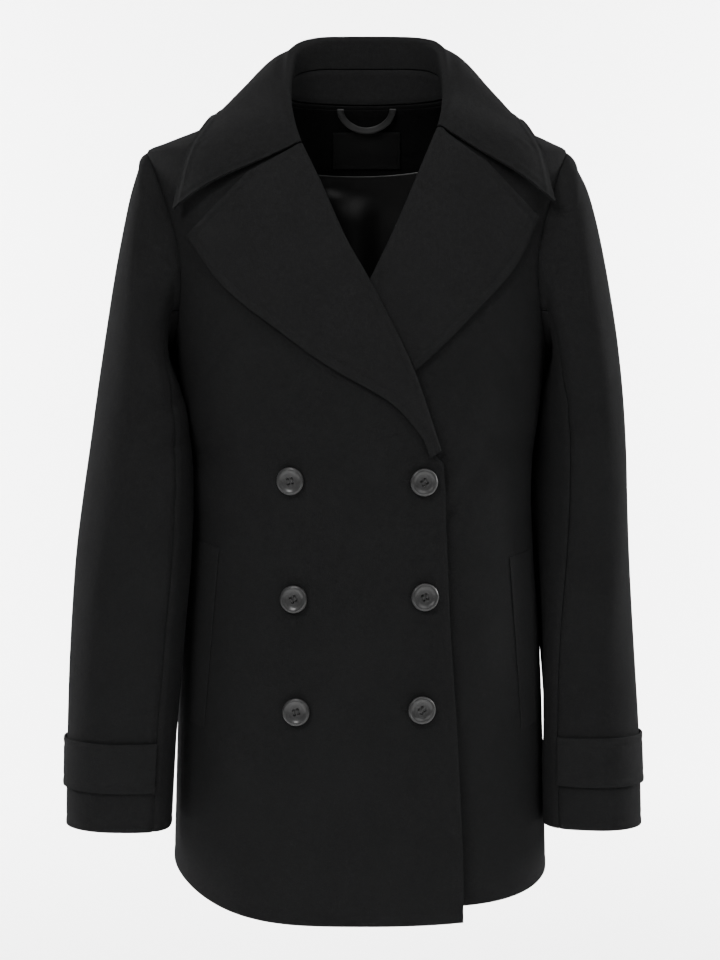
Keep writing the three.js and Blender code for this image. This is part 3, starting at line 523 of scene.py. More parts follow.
def hemDrop(z, hem):
    return np.where(z > hemFrom, z, mix(hemFrom, hem, (hemFrom - z) / (hemFrom - hemLevel)))


def frontHem(side, x):
    share = np.maximum(side * x - 20, 0) / 160
    return -756 + 12 * share ** 5 if side > 0 else -768 + 34 * share ** 3.3


def innerX(side, z):
    one = rolls[side]
    roll = one["roll"].x
    slope = (roll(z + 1) - roll(z - 1)) / 2
    short = (hookEnd + hookSeam) * smooth(z, breakHeight - 6, lapelFoot)
    above = roll(z) + side * short * np.hypot(1, slope)
    x = np.where(z >= one["gorge"], one["neck"].x(z), above)
    return np.where(z <= breakHeight, -side * edgeTable.x(z), x)


def makeFront(name, side):
    z, front, _ = panelHeights()
    z = z[:, None]
    inner = angleAcross(innerX(side, z), z)
    outer = side * angleAside(-front[:, None], z)
    fine = np.array([0, 1.5, 3, 4.5, 6, 7.2, 8.6, 10.5, 13]) / 210
    share = np.concatenate([fine, np.linspace(16 / 210, 0.975, 56), [0.985, 0.993, 1]])[None, :]
    angle = mix(inner, outer, share)
    p = onBody(angle, z + 0 * angle)
    normals = normalAt(p)
    level = frontLevel(side, p[..., 0], p[..., 2]) + foldAt(p) * smooth(side * (outer - angle), 0, 0.3)
    p = p + normals * level[..., None]
    p[..., 2] = hemDrop(p[..., 2], frontHem(side, p[..., 0]))
    below = (z[:, 0] <= breakHeight).argmin() - 1
    frontEdge = p[:below, 0]
    roll = edgeRoll(distanceTo(p, frontEdge)) * smooth(-p[..., 2], -breakHeight - 4, -breakHeight + 14)
    hem = 0.5 * edgeRoll(distanceTo(p, p[0]) * 0.75)
    sides = seamDip(distanceTo(p, p[:, -1]))
    p = p + normals * (roll + hem + sides)[..., None]
    piece = makeCloth(name, p, cloth["wool"], wool, name, flipped=side > 0)
    return piece


makeFront("front_right", -1)
makeFront("front_left", 1)


def makeBack():
    z, _, back = panelHeights()
    z, back = z[:, None], back[:, None]
    side = angleAside(back, z)
    share = spaced(121, 2, 0.35, both=True)[None, :]
    inward = np.sin(np.pi * share)
    height = z + (neckBack - neckSide) * inward * smooth(z, -64, neckSide)
    p = onBody(mix(side, 2 * np.pi - side, share), height)
    normals = normalAt(p)
    p = p + normals * (foldAt(p) * smooth(inward, 0, 0.4))[..., None]
    p[..., 2] = hemDrop(p[..., 2], mix(-740, -750, inward + 0 * z))
    hem = 0.5 * edgeRoll(distanceTo(p, p[0]) * 0.75)
    sides = seamDip(distanceTo(p, p[:, 0])) + seamDip(distanceTo(p, p[:, -1]))
    p = p + normals * (hem + sides)[..., None]
    piece = makeCloth("back", p, cloth["wool"], wool, "back")


makeBack()
print("body made")

# lapels
lapelLook = {
    -1: dict(name="lapel_right", edge=Table("along x z", [
        [0, 66, -339], [0.2, 30, -295], [0.4, -25, -262], [0.6, -72, -229], [0.8, -122, -189], [1, -156, -144]])),
    1: dict(name="lapel_left", edge=Table("along x z", [
        [0, -66, -339], [0.2, -5, -303], [0.4, 52, -262], [0.6, 103, -213], [0.8, 142, -168], [1, 161, -127]])),
}
notchAt, gorgeGap = 0.43, 2.4
hook = Table("step inside rise", [[0, 5.5, 0], [1, 3, 0.2], [2, 1, 1.2], [3, 0, 3.2], [4, 1, 5.3], [5, 4, 6.4]])
hookTop = 6.4
collarTable = Table("at crestX crestY crestZ edgeX edgeY edgeZ fold lean bow", [
    [0 / 14, -54, -84, -60, -165, -75, -121, 3.2, 84, 1],
    [1 / 14, -61, -68.2, -38, -156, -56, -88, 3.8, 66, 3],
    [2 / 14, -66, -39, -14, -145, -34, -58, 4.5, 42, 6],
    [3 / 14, -68, -4, 11, -135, 2, -33, 5, 20, 10],
    [4 / 14, -67, 28, 32, -119, 44, -36, 5, 8, 12],
    [5 / 14, -56, 52, 45, -90, 68, -42, 5, 0, 8],
    [6 / 14, -32, 69, 51, -48, 82, -47, 5, 0, 4],
    [7 / 14, 8, 76, 52, 6, 88, -48, 5, 0, 2],
    [8 / 14, 46, 70, 51, 60, 82, -47, 5, 0, 4],
    [9 / 14, 70, 52, 46, 102, 68, -42, 5, 0, 8],
    [10 / 14, 80, 26, 33, 131, 44, -37, 5, 8, 12],
    [11 / 14, 81, -4, 12, 148, 2, -37, 5, 20, 10],
    [12 / 14, 79, -32, -9, 158, -32, -63, 4.5, 42, 6],
    [13 / 14, 76, -56.5, -28, 167, -52, -88, 3.8, 66, 3],
    [14 / 14, 72, -68, -44, 173, -72, -114, 3.2, 84, 1],
])


def makeLapel(side):
    edge, one = lapelLook[side]["edge"], rolls[side]
    roll = one["roll"].x
    top = one["gorge"] - gorgeGap
    end = collarTable.edgeX(float(side > 0)), collarTable.edgeZ(float(side > 0)) - gorgeGap
    z = np.concatenate([np.linspace(lapelFoot, top - 9, 92), top - np.array([7.2, 5.6, 4, 2.6, 1.3, 0])])
    along = (z - lapelFoot) / (top - lapelFoot)
    slope = (roll(z + 2) - roll(z - 2)) / 4
    aside = unit(point(side + 0 * z, 0, -side * slope))
    start = point(roll(z), 0, z)
    tip = point(edge.x(along), 0, edge.z(along))
    bend = mix(start, tip, notchAt)
    notch = mix(start, point(end[0], 0, end[1]) + 0 * start, notchAt)
    bend = mix(bend, notch, along[:, None] ** 5)

    def puffAt(place):
        if side < 0:
            return smooth(along, 0, 0.3)
        return smooth(place[:, 0] - rolls[-1]["roll"].x(place[:, 2]), 4, 26)

    columns = []
    for step in np.linspace(0, 5, 17):
        place = start + aside * hook.inside(step)
        rise = hook.rise(step) * mix(cloth["layer"] / hookTop, 1, puffAt(place))
        columns.append(onFront(side, place[:, 0], place[:, 2], rise))
    full = np.linalg.norm(tip - start, axis=-1).max()
    fine = 1 - np.array([13, 10.5, 9, 8, 7.2, 6.2, 5, 3.6, 2.2, 1, 0]) / full
    for share in np.concatenate([np.linspace(0.07, fine[0] - 0.02, 40), fine]):
        if share < notchAt:
            place = mix(start, bend, share / notchAt)
        else:
            place = mix(bend, tip, (share - notchAt) / (1 - notchAt))
        run = np.linalg.norm(place - start, axis=-1)
        far = np.maximum(run, 4.6 + 6.4 * share)
        place = start + (place - start) * (far / run)[:, None]
        rise = cloth["layer"] + 2.2 * puffAt(place) * np.exp(-far / 22)
        columns.append(onFront(side, place[:, 0], place[:, 2], rise))
    p = np.stack(columns, axis=1)
    normals = gridNormals(p, (0, -1, 0))
    freeTop = p[-1][p.shape[1] // 2:]
    onLeaf = smooth(np.arange(p.shape[1]), 15, 24)[None, :]
    lift = edgeRoll(distanceTo(p, p[:, -1]))
    lift = lift + edgeRoll(distanceTo(p, freeTop)) * smooth(along, 0.3, 0.6)[:, None]
    p = p + normals * (np.clip(lift, -0.6, 0.5) * onLeaf)[..., None]
    name = lapelLook[side]["name"]
    piece = makeCloth(name, p, cloth["wool"], facingWool, name, flipped=side < 0)


makeLapel(-1)
makeLapel(1)
print("lapels made")


# collar and stand
def crestFrame(at):
    def crest(where):
        return point(collarTable.crestX(where), collarTable.crestY(where), collarTable.crestZ(where))

    step = 0.01
    along = unit(crest(np.minimum(at + step, 1)) - crest(np.maximum(at - step, 0)))
    up = np.array([0.0, 0.0, 1.0])
    upright = unit(up - along * dot(along, up))
    outward = unit(np.cross(upright, along))
    lean = np.radians(collarTable.lean(at))[:, None]
    apex = upright * np.cos(lean) - outward * np.sin(lean)
    inside = -outward * np.cos(lean) - upright * np.sin(lean)
    return crest(at), apex, inside, collarTable.fold(at)[:, None]


neckTurns = dict(slope=0.175, side=0.2)


def neckEdge(at):
    side = np.where(at < 0.5, -1, 1)
    fromEnd = np.minimum(at, 1 - at)
    slopeShare = np.minimum(fromEnd / neckTurns["slope"], 1)
    ends = {}
    for hand in (-1, 1):
        z = mix(rolls[hand]["gorge"], neckSide, slopeShare)
        rowShare = np.maximum((fromEnd - neckTurns["slope"]) / (neckTurns["side"] - neckTurns["slope"]), 0)
        angle = mix(angleAcross(rolls[hand]["neck"].x(z), z), hand * np.pi / 2, np.minimum(rowShare, 1))
        p = onBody(angle, z)
        ends[hand] = p + normalAt(p) * frontLevel(hand, p[..., 0], z)[..., None]
    share = (at - neckTurns["side"]) / (1 - 2 * neckTurns["side"])
    angle = mix(-np.pi / 2 - 0.01, -1.5 * np.pi + 0.01, share)
    behind = onBody(angle, mix(neckSide, neckBack, np.sin(np.pi * np.clip(share, 0, 1))))
    front = np.where(side[:, None] < 0, ends[-1], ends[1])
    return np.where(fromEnd[:, None] < neckTurns["side"], front, behind)


standLook = dict(seam=1.6, share=0.58, start=0.185)


def standRoot(at):
    step = 0.02
    p = neckEdge(at)
    along = unit(neckEdge(np.minimum(at + step, 1)) - neckEdge(np.maximum(at - step, 0)))
    direction = normalAt(p)
    across = unit(np.cross(direction, along))
    across = np.where(across[:, 2:] < 0, -across, across)
    return p + across * standLook["seam"], direction


def seamShare(at):
    return standLook["share"] * smooth(0.5 - np.abs(at - 0.5), 0.1, 0.24)


def innerLeg(at):
    crest, apex, inside, fold = crestFrame(at)
    down = mix(0.2, 1.5, np.cos(np.radians(collarTable.lean(at))))[:, None]
    return standRoot(at)[0], crest - apex * down * fold + inside * fold


def throughPoints(points, count):  # a smooth line through each column of a list of points
    points = np.stack(points)
    length = np.concatenate([[0], np.cumsum(np.linalg.norm(np.diff(points, axis=0), axis=-1).mean(axis=1))])
    slope = np.gradient(points, length, axis=0)
    where = np.asarray(count) * length[-1] if np.ndim(count) else np.linspace(0, length[-1], count)
    i = np.clip(np.searchsorted(length, where, side="right") - 1, 0, len(length) - 2)
    width = (length[i + 1] - length[i])[:, None, None]
    t = ((where - length[i]) / (length[i + 1] - length[i]))[:, None, None]
    s = 1 - t
    return (points[i] * (1 + 2 * t) * s * s + slope[i] * width * t * s * s
            + points[i + 1] * (1 + 2 * s) * t * t - slope[i + 1] * width * s * t * t)


def makeStand():
    at = np.linspace(standLook["start"], 1 - standLook["start"], 121)
    foot, head = innerLeg(at)
    shares = np.linspace(0, 1, 22)
    p = np.stack([mix(foot, head, (seamShare(at) * share)[:, None]) for share in shares])
    normals = gridNormals(p, (0, -1, 0))
    p = p + normals * seamDip(distanceTo(p, p[0]))[..., None] * 0.6
    p = p + normals * seamDip(distanceTo(p, p[-1]))[..., None] * 0.6
    piece = makeCloth("collar_stand", p, cloth["wool"], facingWool, "collar_stand")


collarLook = dict(even=0.035, least=3.4, lift=9.0, liftTo=0.14)


def makeCollar():
    at = np.concatenate([np.array([0, 1, 2, 3.2, 4.4, 5.6, 7]) / 700, np.linspace(9 / 700, 1 - 9 / 700, 150),
                         1 - np.array([7, 5.6, 4.4, 3.2, 2, 1, 0]) / 700])
    crest, apex, inside, fold = crestFrame(at)
    foot, head = innerLeg(at)
    upright = np.cos(np.radians(collarTable.lean(at)))[:, None]

    def rim(down, out):
        return crest - apex * down * fold - inside * out * fold

    length = np.linalg.norm(head - foot, axis=-1)
    sewn = mix(foot, head, np.minimum(seamShare(at) + 3 * cloth["seam"] / length, 0.7)[:, None])
    shoulder = rim(0.6, 0.85)
    edge = point(collarTable.edgeX(at), collarTable.edgeY(at), collarTable.edgeZ(at))
    side = np.where(at < 0.5, -1, 1)
    lines = [sewn, mix(sewn, head, 0.55), head, rim(mix(0.1, 0.6, upright), -0.85), crest, shoulder]
    for share in [0.1, 0.22, 0.36, 0.5, 0.64, 0.78, 0.9, 1]:
        p = mix(shoulder, edge, share)
        out = point(0.5 * side * smooth(np.abs(at - 0.5), 0.05, 0.2), 0, 0.85)
        p = p + out * (collarTable.bow(at) * np.sin(np.pi * share ** 0.8))[:, None]
        lap = np.where(p[:, 1] < 0, np.where(side < 0, frontLevel(-1, p[:, 0], p[:, 2]),
                                             frontLevel(1, p[:, 0], p[:, 2])), 0)
        ridge = 3 * hump(p[:, 1], -10, 45)
        push = keepOut(p, lap + cloth["layer"] + ridge, 1.5) - p
        near = np.exp(-((at[:, None] - at[None, :]) / collarLook["even"]) ** 2)
        push = near @ push / near.sum(axis=1, keepdims=True)
        p = keepOut(p + push, lap + collarLook["least"], 1.0)
        ends = 1 - smooth(0.5 - np.abs(at - 0.5), 0, collarLook["liftTo"])
        lines.append(p + normalAt(p) * (collarLook["lift"] * ends * smooth(share, 0.2, 0.9))[:, None])
    shares = np.concatenate([np.linspace(0, 0.3, 30), np.linspace(0.315, 0.93, 44),
                             1 - np.array([7, 6, 5.2, 4.2, 3.2, 2.2, 1, 0]) / 110])
    p = throughPoints(lines, shares)
    normals = gridNormals(p, (0, -0.3, 1))
    onLeaf = smooth(shares, 0.3, 0.4)[:, None]
    half = int(len(shares) * 0.45)
    lift = sum(edgeRoll(distanceTo(p, line)) for line in (p[-1], p[half:, 0], p[half:, -1]))
    p = p + normals * (np.clip(lift, -0.6, 0.5) * onLeaf)[..., None]
    piece = makeCloth("collar", p, cloth["wool"], wool, "collar", flipped=True)


makeCollar()
makeStand()
print("collar made")


# inside of the neck: facing, lining, label and loop
facingLook = dict(level=-2.9, side=-30, back=-85)
liningLook = dict(level=-5.8, hem=-728, pleatWide=0.028, pleatDeep=8, pleatFrom=90, pleatTo=125)


def facingEdge(share):
    return mix(facingLook["side"], facingLook["back"], np.sin(np.pi * share))


def makeFacing():
    share = mix(0.07, 0.93, np.linspace(0, 1, 91))[None, :]
    top = mix(neckSide, neckBack, np.sin(np.pi * share)) - 2.5
    z = mix(top, facingEdge(share), np.linspace(0, 1, 46)[:, None])
    side = angleAside(2.0, z)
    p = onBody(mix(side, 2 * np.pi - side, share), z)
    p = p + normalAt(p) * facingLook["level"]
    normals = gridNormals(p, (0, -1, 0))
    p = p + normals * (0.5 * seamDip(distanceTo(p, p[0])) + 0.35 * seamDip(distanceTo(p, p[-1])))[..., None]
    # the facing takes the darkened wool copy, painted shade for the inside of the neck
    piece = makeCloth("back_neck_facing", p, cloth["satin"], neckWoolPaintedShade, "back_neck_facing",
                      bevel=0.4)


def makeLining():
    share = mix(0.03, 0.97, np.linspace(0, 1, 181))[None, :]
    z = mix(facingEdge(share) + 5, liningLook["hem"], spaced(150, 1.5, 0.8)[:, None])
    level = (z - underarm) / (shoulderTip - underarm)
    open = np.where((level > 0) & (level < 1), 2 * np.sqrt(np.clip(level * (1 - level), 0, 1)), 0)
    side = angleAside(open * (armhole["back"] + 6) + 3, z)
    p = onBody(mix(side, 2 * np.pi - side, share), z)
    pleat = smooth(-z, liningLook["pleatFrom"], liningLook["pleatTo"])
    fold = hump(share, 0.5, liningLook["pleatWide"]) * pleat
    down = -z - 90
    ripple = 0.7 * np.sin(share * 210) * hump(share, 0.6, 0.05) * hump(down, 8, 16)
    drag = -4.5 * hump(share * 100 + 0.055 * down, 55.5, 2.6) + 1.2 * hump(share * 100 + 0.055 * down, 50, 3)
    rise = liningLook["level"] + foldAt(p) - liningLook["pleatDeep"] * fold
    rise = rise + ripple + drag * smooth(down, 0, 12)
    p = p + normalAt(p) * np.minimum(rise, liningLook["level"] + foldAt(p) + 0.6)[..., None]
    piece = makeCloth("back_lining", p, cloth["satin"] * 0.5, satin, "back_lining", bevel=0)


def onFacing(x, z, level):
    p = onBody(np.pi - angleAcross(x, z), z)
    return p + normalAt(p) * np.asarray(level)[..., None]


labelLook = dict(left=-27, right=40, top=-38, bottom=-73)
loopLook = dict(left=-20, right=33, top=-15.0, drop=20, thick=3.0, wide=6.4)


def makeLabel():
    x = np.linspace(labelLook["left"], labelLook["right"], 68)[None, :]
    z = np.linspace(labelLook["top"], labelLook["bottom"], 36)[:, None]
    level = facingLook["level"] - cloth["satin"] - 2 * cloth["seam"]
    border = np.minimum(np.minimum(x - labelLook["left"], labelLook["right"] - x),
                        np.minimum(labelLook["top"] - z, z - labelLook["bottom"]))
    p = onFacing(x + 0 * z, z + 0 * x, level + 0.3 * hump(border, 2.2, 0.9) - 0.15 * hump(z, -55, 12))
    piece = makeCloth("neck_label", p, 0.8, labelCloth, "neck_label", bevel=0.2)


def sweep(name, line, section, material, replaces=None, closed=False):  # a section drawn along a line
    bm = bmesh.new()
    count = len(line)
    tangent = unit(np.gradient(line, axis=0))
    if closed:
        tangent = unit(np.roll(line, -1, axis=0) - np.roll(line, 1, axis=0))
    side = unit(np.cross(tangent, np.array(section["out"], float)))
    out = np.cross(side, tangent)
    turns = np.linspace(0, 2 * np.pi, section["sides"], endpoint=False)
    rings = []
    for i in range(count):
        ring = []
        for turn in turns:
            thick = section["thick"] / 2 * (1 - section.get("waist", 0) * np.sin(turn) ** 2)
            ring.append(line[i] + side[i] * section["wide"] / 2 * np.cos(turn) + out[i] * thick * np.sin(turn))
        rings.append([bm.verts.new(Vector(p / 1000)) for p in ring])
    loops = []
    for ring in rings:
        loops.append([bm.edges.new((ring[k], ring[(k + 1) % len(ring)])) for k in range(len(ring))])
    pairs = list(zip(loops[:-1], loops[1:])) + ([(loops[-1], loops[0])] if closed else [])
    for first, second in pairs:
        bmesh.ops.bridge_loops(bm, edges=first + second)
    if not closed:
        bmesh.ops.contextual_create(bm, geom=loops[0])
        bmesh.ops.contextual_create(bm, geom=loops[-1])
    bmesh.ops.recalc_face_normals(bm, faces=bm.faces)
    for face in bm.faces:
        face.smooth = len(face.verts) == 4
    return finishPiece(name, bm, material, replaces)


def finishPiece(name, bm, material, replaces=None):
    name = name + "_finished" if replaces else name
    mesh = bpy.data.meshes.new(name)
    bm.to_mesh(mesh)
    bm.free()
    mesh.materials.append(material)
    piece = bpy.data.objects.new(name, mesh)
    bpy.context.scene.collection.objects.link(piece)
    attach(piece, "root")
    if replaces:
        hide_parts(replaces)
    return piece


def makeLoop():
    level = facingLook["level"] - cloth["satin"] / 2 - loopLook["thick"] / 2 - 2 * cloth["seam"]
    share = 0.5 - 0.5 * np.cos(np.pi * np.linspace(0, 1, 72))
    sag = np.sin(np.pi * share) ** 0.44
    line = onFacing(mix(loopLook["left"], loopLook["right"], share), loopLook["top"] - loopLook["drop"] * sag,
                    level - 2.5 * sag)
    section = dict(sides=20, wide=loopLook["wide"], thick=loopLook["thick"], out=(0, -1, 0), waist=0.5)
    sweep("hanging_loop", line, section, rope, "hanging_loop")


makeFacing()
makeLining()
makeLabel()
makeLoop()
print("neck made")

# sleeves
sleeveNames = "row outerX outerZ innerX innerZ y depth twist"
sleeveLook = {
    "right": dict(side=-1, strapTop=-606, table=Table(sleeveNames, [
        [1, 207, -77, 182, -249, -3, 70, 0],
        [2, 214, -101, 182, -256, -8, 74, 0],
        [3, 221, -135, 176, -266, -15, 77, 0],
        [4, 229, -182, 168, -280, -24, 78, 0],
        [5, 236, -233, 160, -302, -34, 76, 0],
        [6, 243, -284, 156, -330, -44, 72, 0],
        [7, 250, -335, 155, -363, -53, 67, 0],
        [8, 257, -385, 155, -402, -61, 62, 0],
        [9, 263, -435, 157, -445, -67, 58, 0],
        [10, 267, -490, 162, -495, -72, 54, 0],
        [11, 270, -550, 167, -550, -77, 50, 0],
        [12, 271.5, -603, 172, -603, -81, 46.5, 0],
        [13, 272.5, -652, 175, -653, -84, 44, 0],
        [14, 273, -688, 177, -689, -85, 42.5, 0],
    ])),
    "left": dict(side=1, strapTop=-611, table=Table(sleeveNames, [
        [1, 204, -80, 182, -249, -3, 70, 0],
        [2, 213, -98, 182, -256, -4, 74, 0],
        [3, 222, -130, 177, -267, -5, 77, 2],
        [4, 231, -178, 171, -282, -5, 78, 6],
        [5, 238, -231, 166, -302, -4, 76, 12],
        [6, 243, -284, 162, -330, -2, 72, 18],
        [7, 247, -335, 159, -363, 0, 68, 22],
        [8, 250.5, -385, 157, -402, 0, 63, 24],
        [9, 254, -435, 158, -445, -3, 59, 22],
        [10, 258, -490, 161, -495, -10, 55, 16],
        [11, 261.5, -550, 165, -550, -22, 51, 9],
        [12, 264, -605, 169, -603, -35, 47.5, 3],
        [13, 265, -655, 172, -652, -46, 45, 0],
        [14, 265.5, -696, 173, -693, -52, 43.5, 0],
    ])),
}
sleeveCut = dict(columns=20, rows=14, girth=300, frontSeam=7, hindSeam=13, flat=0.62)
sleeveHead = dict(rollOut=6, rows=4, lowFrom=-0.45, lowTo=0.3)

# creases of a sleeve: height, place round it in columns, run in degrees, length, width and depth
sleeveFolds = dict(
    right=[
        [-300, 6.5, 66, 34, 9, -2.2], [-335, 7.2, 74, 30, 8, -1.8], [-372, 6.4, 78, 34, 9, 1.3],
        [-322, 14.5, -62, 36, 10, -2.6], [-362, 14, -78, 34, 10, -2.2], [-398, 13.6, 80, 36, 9, -1.8],
        [-120, 5.0, 8, 62, 11, -1.8], [-140, 15.6, -10, 60, 12, -2.0], [-470, 3.4, 5, 95, 13, 1.2],
        [-520, 16.8, 4, 85, 14, -1.5], [-240, 1.5, 6, 80, 16, 1.3], [-575, 6.5, 62, 26, 8, -0.8],
    ],
    left=[
        [-292, 6.2, -62, 36, 9, -2.2], [-330, 6.8, -74, 34, 9, -1.9], [-368, 6.2, -80, 32, 8, 1.4],
        [-326, 14.6, 64, 36, 10, -2.5], [-366, 14, 78, 34, 10, -2.2], [-404, 13.5, 82, 36, 9, -1.7],
        [-130, 4.6, -6, 78, 10, -2.2], [-240, 4.4, -3, 88, 10, 1.8], [-150, 15.8, 8, 60, 12, -1.9],
        [-460, 4.0, -4, 100, 12, 1.2], [-520, 16.6, -5, 85, 14, -1.5], [-580, 6.2, -60, 26, 8, -0.8],
    ],
)


def sleeveTube(hand, row, angle):
    look = sleeveLook[hand]
    side, table = look["side"], look["table"]
    turn = np.radians(table.twist(row))
    flat = np.where((np.cos(angle) < 0) & (np.sin(angle) > 0), sleeveCut["flat"], 1)
    across = np.sign(np.cos(angle)) * np.abs(np.cos(angle)) ** flat
    forward = np.sign(np.sin(angle)) * np.abs(np.sin(angle)) ** flat
    outerX, outerZ, innerX, innerZ = table.outerX(row), table.outerZ(row), table.innerX(row), table.innerZ(row)
    halfX, halfZ = side * (outerX - innerX) / 2, (outerZ - innerZ) / 2
    long = np.hypot(halfX, halfZ)
    hind = -table.depth(row) * forward
    x = side * (outerX + innerX) / 2 + halfX * across * np.cos(turn) - side * hind * np.sin(turn)
    z = (outerZ + innerZ) / 2 + halfZ * across * np.cos(turn)
    y = table.y(row) + hind * np.cos(turn) + long * across * np.sin(turn)
    welt = smooth(-z, 395, 425) * (1 - smooth(-z, 605, 635)) * smooth(-y, 0, 30)
    return keepOut(point(x, y, z), cloth["apart"] + 3.2 * welt, 2)


def lowShare(angle):
    return smooth(-np.cos(angle), sleeveHead["lowFrom"], sleeveHead["lowTo"])[..., None]


def sleeveRoot(hand, angle):
    z, wide = armholeZ(angle), armholeY(angle)
    wide = np.where(np.abs(wide) < 1e-6, -cloth["seam"] / 2, wide)
    root = onBody(sleeveLook[hand]["side"] * angleAside(wide, z), z)
    direction = normalAt(root)
    away = unit(point(root[..., 0], 0, (shoulderTip + underarm) / 2) - root)
    away = unit(away - direction * dot(away, direction))
    return root + away * cloth["seam"] * (1 + lowShare(angle)), direction


def sleeveRing(hand, row, column):  # the lower half of the head rolls out of the seam and runs into the tube
    row, column = np.broadcast_arrays(np.asarray(row, float), np.asarray(column, float))
    angle = 2 * np.pi * column / sleeveCut["columns"]
    p = sleeveTube(hand, np.maximum(row, 1), angle)
    rows = sleeveHead["rows"]
    if row.min() >= rows:
        return p
    foot, direction = sleeveRoot(hand, angle)
    rolled = foot + direction * sleeveHead["rollOut"]
    onward = rolled + direction * sleeveHead["rollOut"]
    end = sleeveTube(hand, rows + 0 * row, angle)
    slope = sleeveTube(hand, rows + 0.5 + 0 * row, angle) - sleeveTube(hand, rows - 0.5 + 0 * row, angle)
    back = end - slope * (rows - 1) / 3
    t = np.clip((row - 1) / (rows - 1), 0, 1)[..., None]
    head = rolled * (1 - t) ** 3 + 3 * onward * t * (1 - t) ** 2 + 3 * back * t ** 2 * (1 - t) + end * t ** 3
    head = keepOut(mix(p, head, lowShare(angle)), cloth["apart"], 2)
    p = np.where(row[..., None] < rows, head, p)
    share = np.clip(row, 0, 1)[..., None]
    puff = 2.6 * np.sin(np.pi * share) * smooth(np.cos(angle), -0.3, 0.5)[..., None]
    return np.where(share < 1, mix(foot, p, share) + direction * puff, p)


def sleeveOut(hand, row, column):
    around = sleeveRing(hand, row, column + 0.3) - sleeveRing(hand, row, column - 0.3)
    last = sleeveCut["rows"]
    down = (sleeveRing(hand, np.minimum(row + 0.3, last), column)
            - sleeveRing(hand, np.maximum(row - 0.3, 0), column))
    out = unit(np.cross(around, down))
    inner = sleeveRing(hand, row, 0 * column + sleeveCut["columns"] / 2)
    middle = mix(sleeveRing(hand, row, 0 * column), inner, 0.5)
    return np.where(dot(out, sleeveRing(hand, row, column) - middle) < 0, -out, out)


def sleeveCreases(hand, p, column):
    rise = np.zeros(column.shape)
    girth = sleeveCut["girth"]
    around = column / sleeveCut["columns"] * girth
    for z, place, turn, long, wide, deep in sleeveFolds[hand]:
        place = place / sleeveCut["columns"] * girth
        turn = math.radians(turn)
        dx, dz = (around - place + girth / 2) % girth - girth / 2, p[..., 2] - z
        along = (dz * math.cos(turn) + dx * math.sin(turn)) / long
        beside = (dx * math.cos(turn) - dz * math.sin(turn)) / wide
        rise += deep * np.exp(-along ** 2 - beside ** 2)
    return rise


def makeSleevePanel(name, hand, start, end):
    sliver = cloth["seam"] / sleeveCut["girth"] * sleeveCut["columns"]
    count = round((end - start) * 6)
    column = np.linspace(start + sliver, end - sliver, count + 1)[None, :]
    row = np.concatenate([np.linspace(0, 1, 9)[:-1], np.linspace(1, 13.55, 92),
                          14 - np.array([0.36, 0.28, 0.2, 0.14, 0.09, 0.04, 0])])[:, None]
    row, column = np.broadcast_arrays(row, column)
    p = sleeveRing(hand, row, column)
    out = sleeveOut(hand, row, column)
    rise = sleeveCreases(hand, p, column) * smooth(row, 0.3, 1.6)
    rise = rise + seamDip(distanceTo(p, p[0])) * 0.5
    rise = rise + seamDip(distanceTo(p, p[:, 0])) + seamDip(distanceTo(p, p[:, -1]))
    rise = rise + 0.6 * edgeRoll(distanceTo(p, p[-1]))
    room = np.maximum(distanceOut(p)[..., 0] - 3.4, 0)
    rise = np.where(row >= 1, np.minimum(rise, room), rise)
    p = p + out * rise[..., None]
    piece = makeCloth(name, p, cloth["wool"], wool, name)


def makeStrap(hand):
    name = "cuff_strap_" + hand
    steps = np.linspace(1, sleeveCut["rows"] - 0.02, 400)
    heights = sleeveRing(hand, steps, 0 * steps)[:, 2]
    high = np.array([0, 1, 2.2, 3.4, 4.6, 6, 8, 10.5, 13.5, 17, 20.5])
    down = np.concatenate([high, 45 - high[::-1]])
    row = np.interp(-(sleeveLook[hand]["strapTop"] - down), -heights, steps)[:, None]
    ends = np.array([0, 0.06, 0.13, 0.2, 0.28, 0.36, 0.5])
    column = np.concatenate([-6 + ends, np.linspace(-5.2, 6.1, 90), 6.9 - ends[::-1]])[None, :]
    row, column = np.broadcast_arrays(row, column)
    p = sleeveRing(hand, row, column)
    out = sleeveOut(hand, row, column)
    rise = cloth["wool"] + 2 * cloth["seam"] + np.maximum(sleeveCreases(hand, p, column), 0)
    edges = sum(edgeRoll(distanceTo(p, line)) for line in (p[0], p[-1]))
    p = p + out * (rise + 0.8 * edges)[..., None]
    piece = makeCloth(name, p, cloth["wool"] * 0.9, facingWool, name, bevel=0.8)


for hand in ("right", "left"):
    back = sleeveCut["hindSeam"] - sleeveCut["columns"]
    makeSleevePanel("sleeve_upper_" + hand, hand, back, sleeveCut["frontSeam"])
    makeSleevePanel("sleeve_under_" + hand, hand, sleeveCut["frontSeam"], sleeveCut["hindSeam"])
    makeStrap(hand)
print("sleeves made")

# pocket welts
weltLook = {
    "pocket_welt_right": dict(side=-1, topIn=-127, bottomIn=-142, topZ=-428, bottomZ=-597, topWide=24,
                              bottomWide=17, lift=4),
    "pocket_welt_left": dict(side=1, topIn=137, bottomIn=149, topZ=-438, bottomZ=-599, topWide=22,
                             bottomWide=16, lift=3),
}


weltCloth = dict(thick=1.0, clear=0.2)


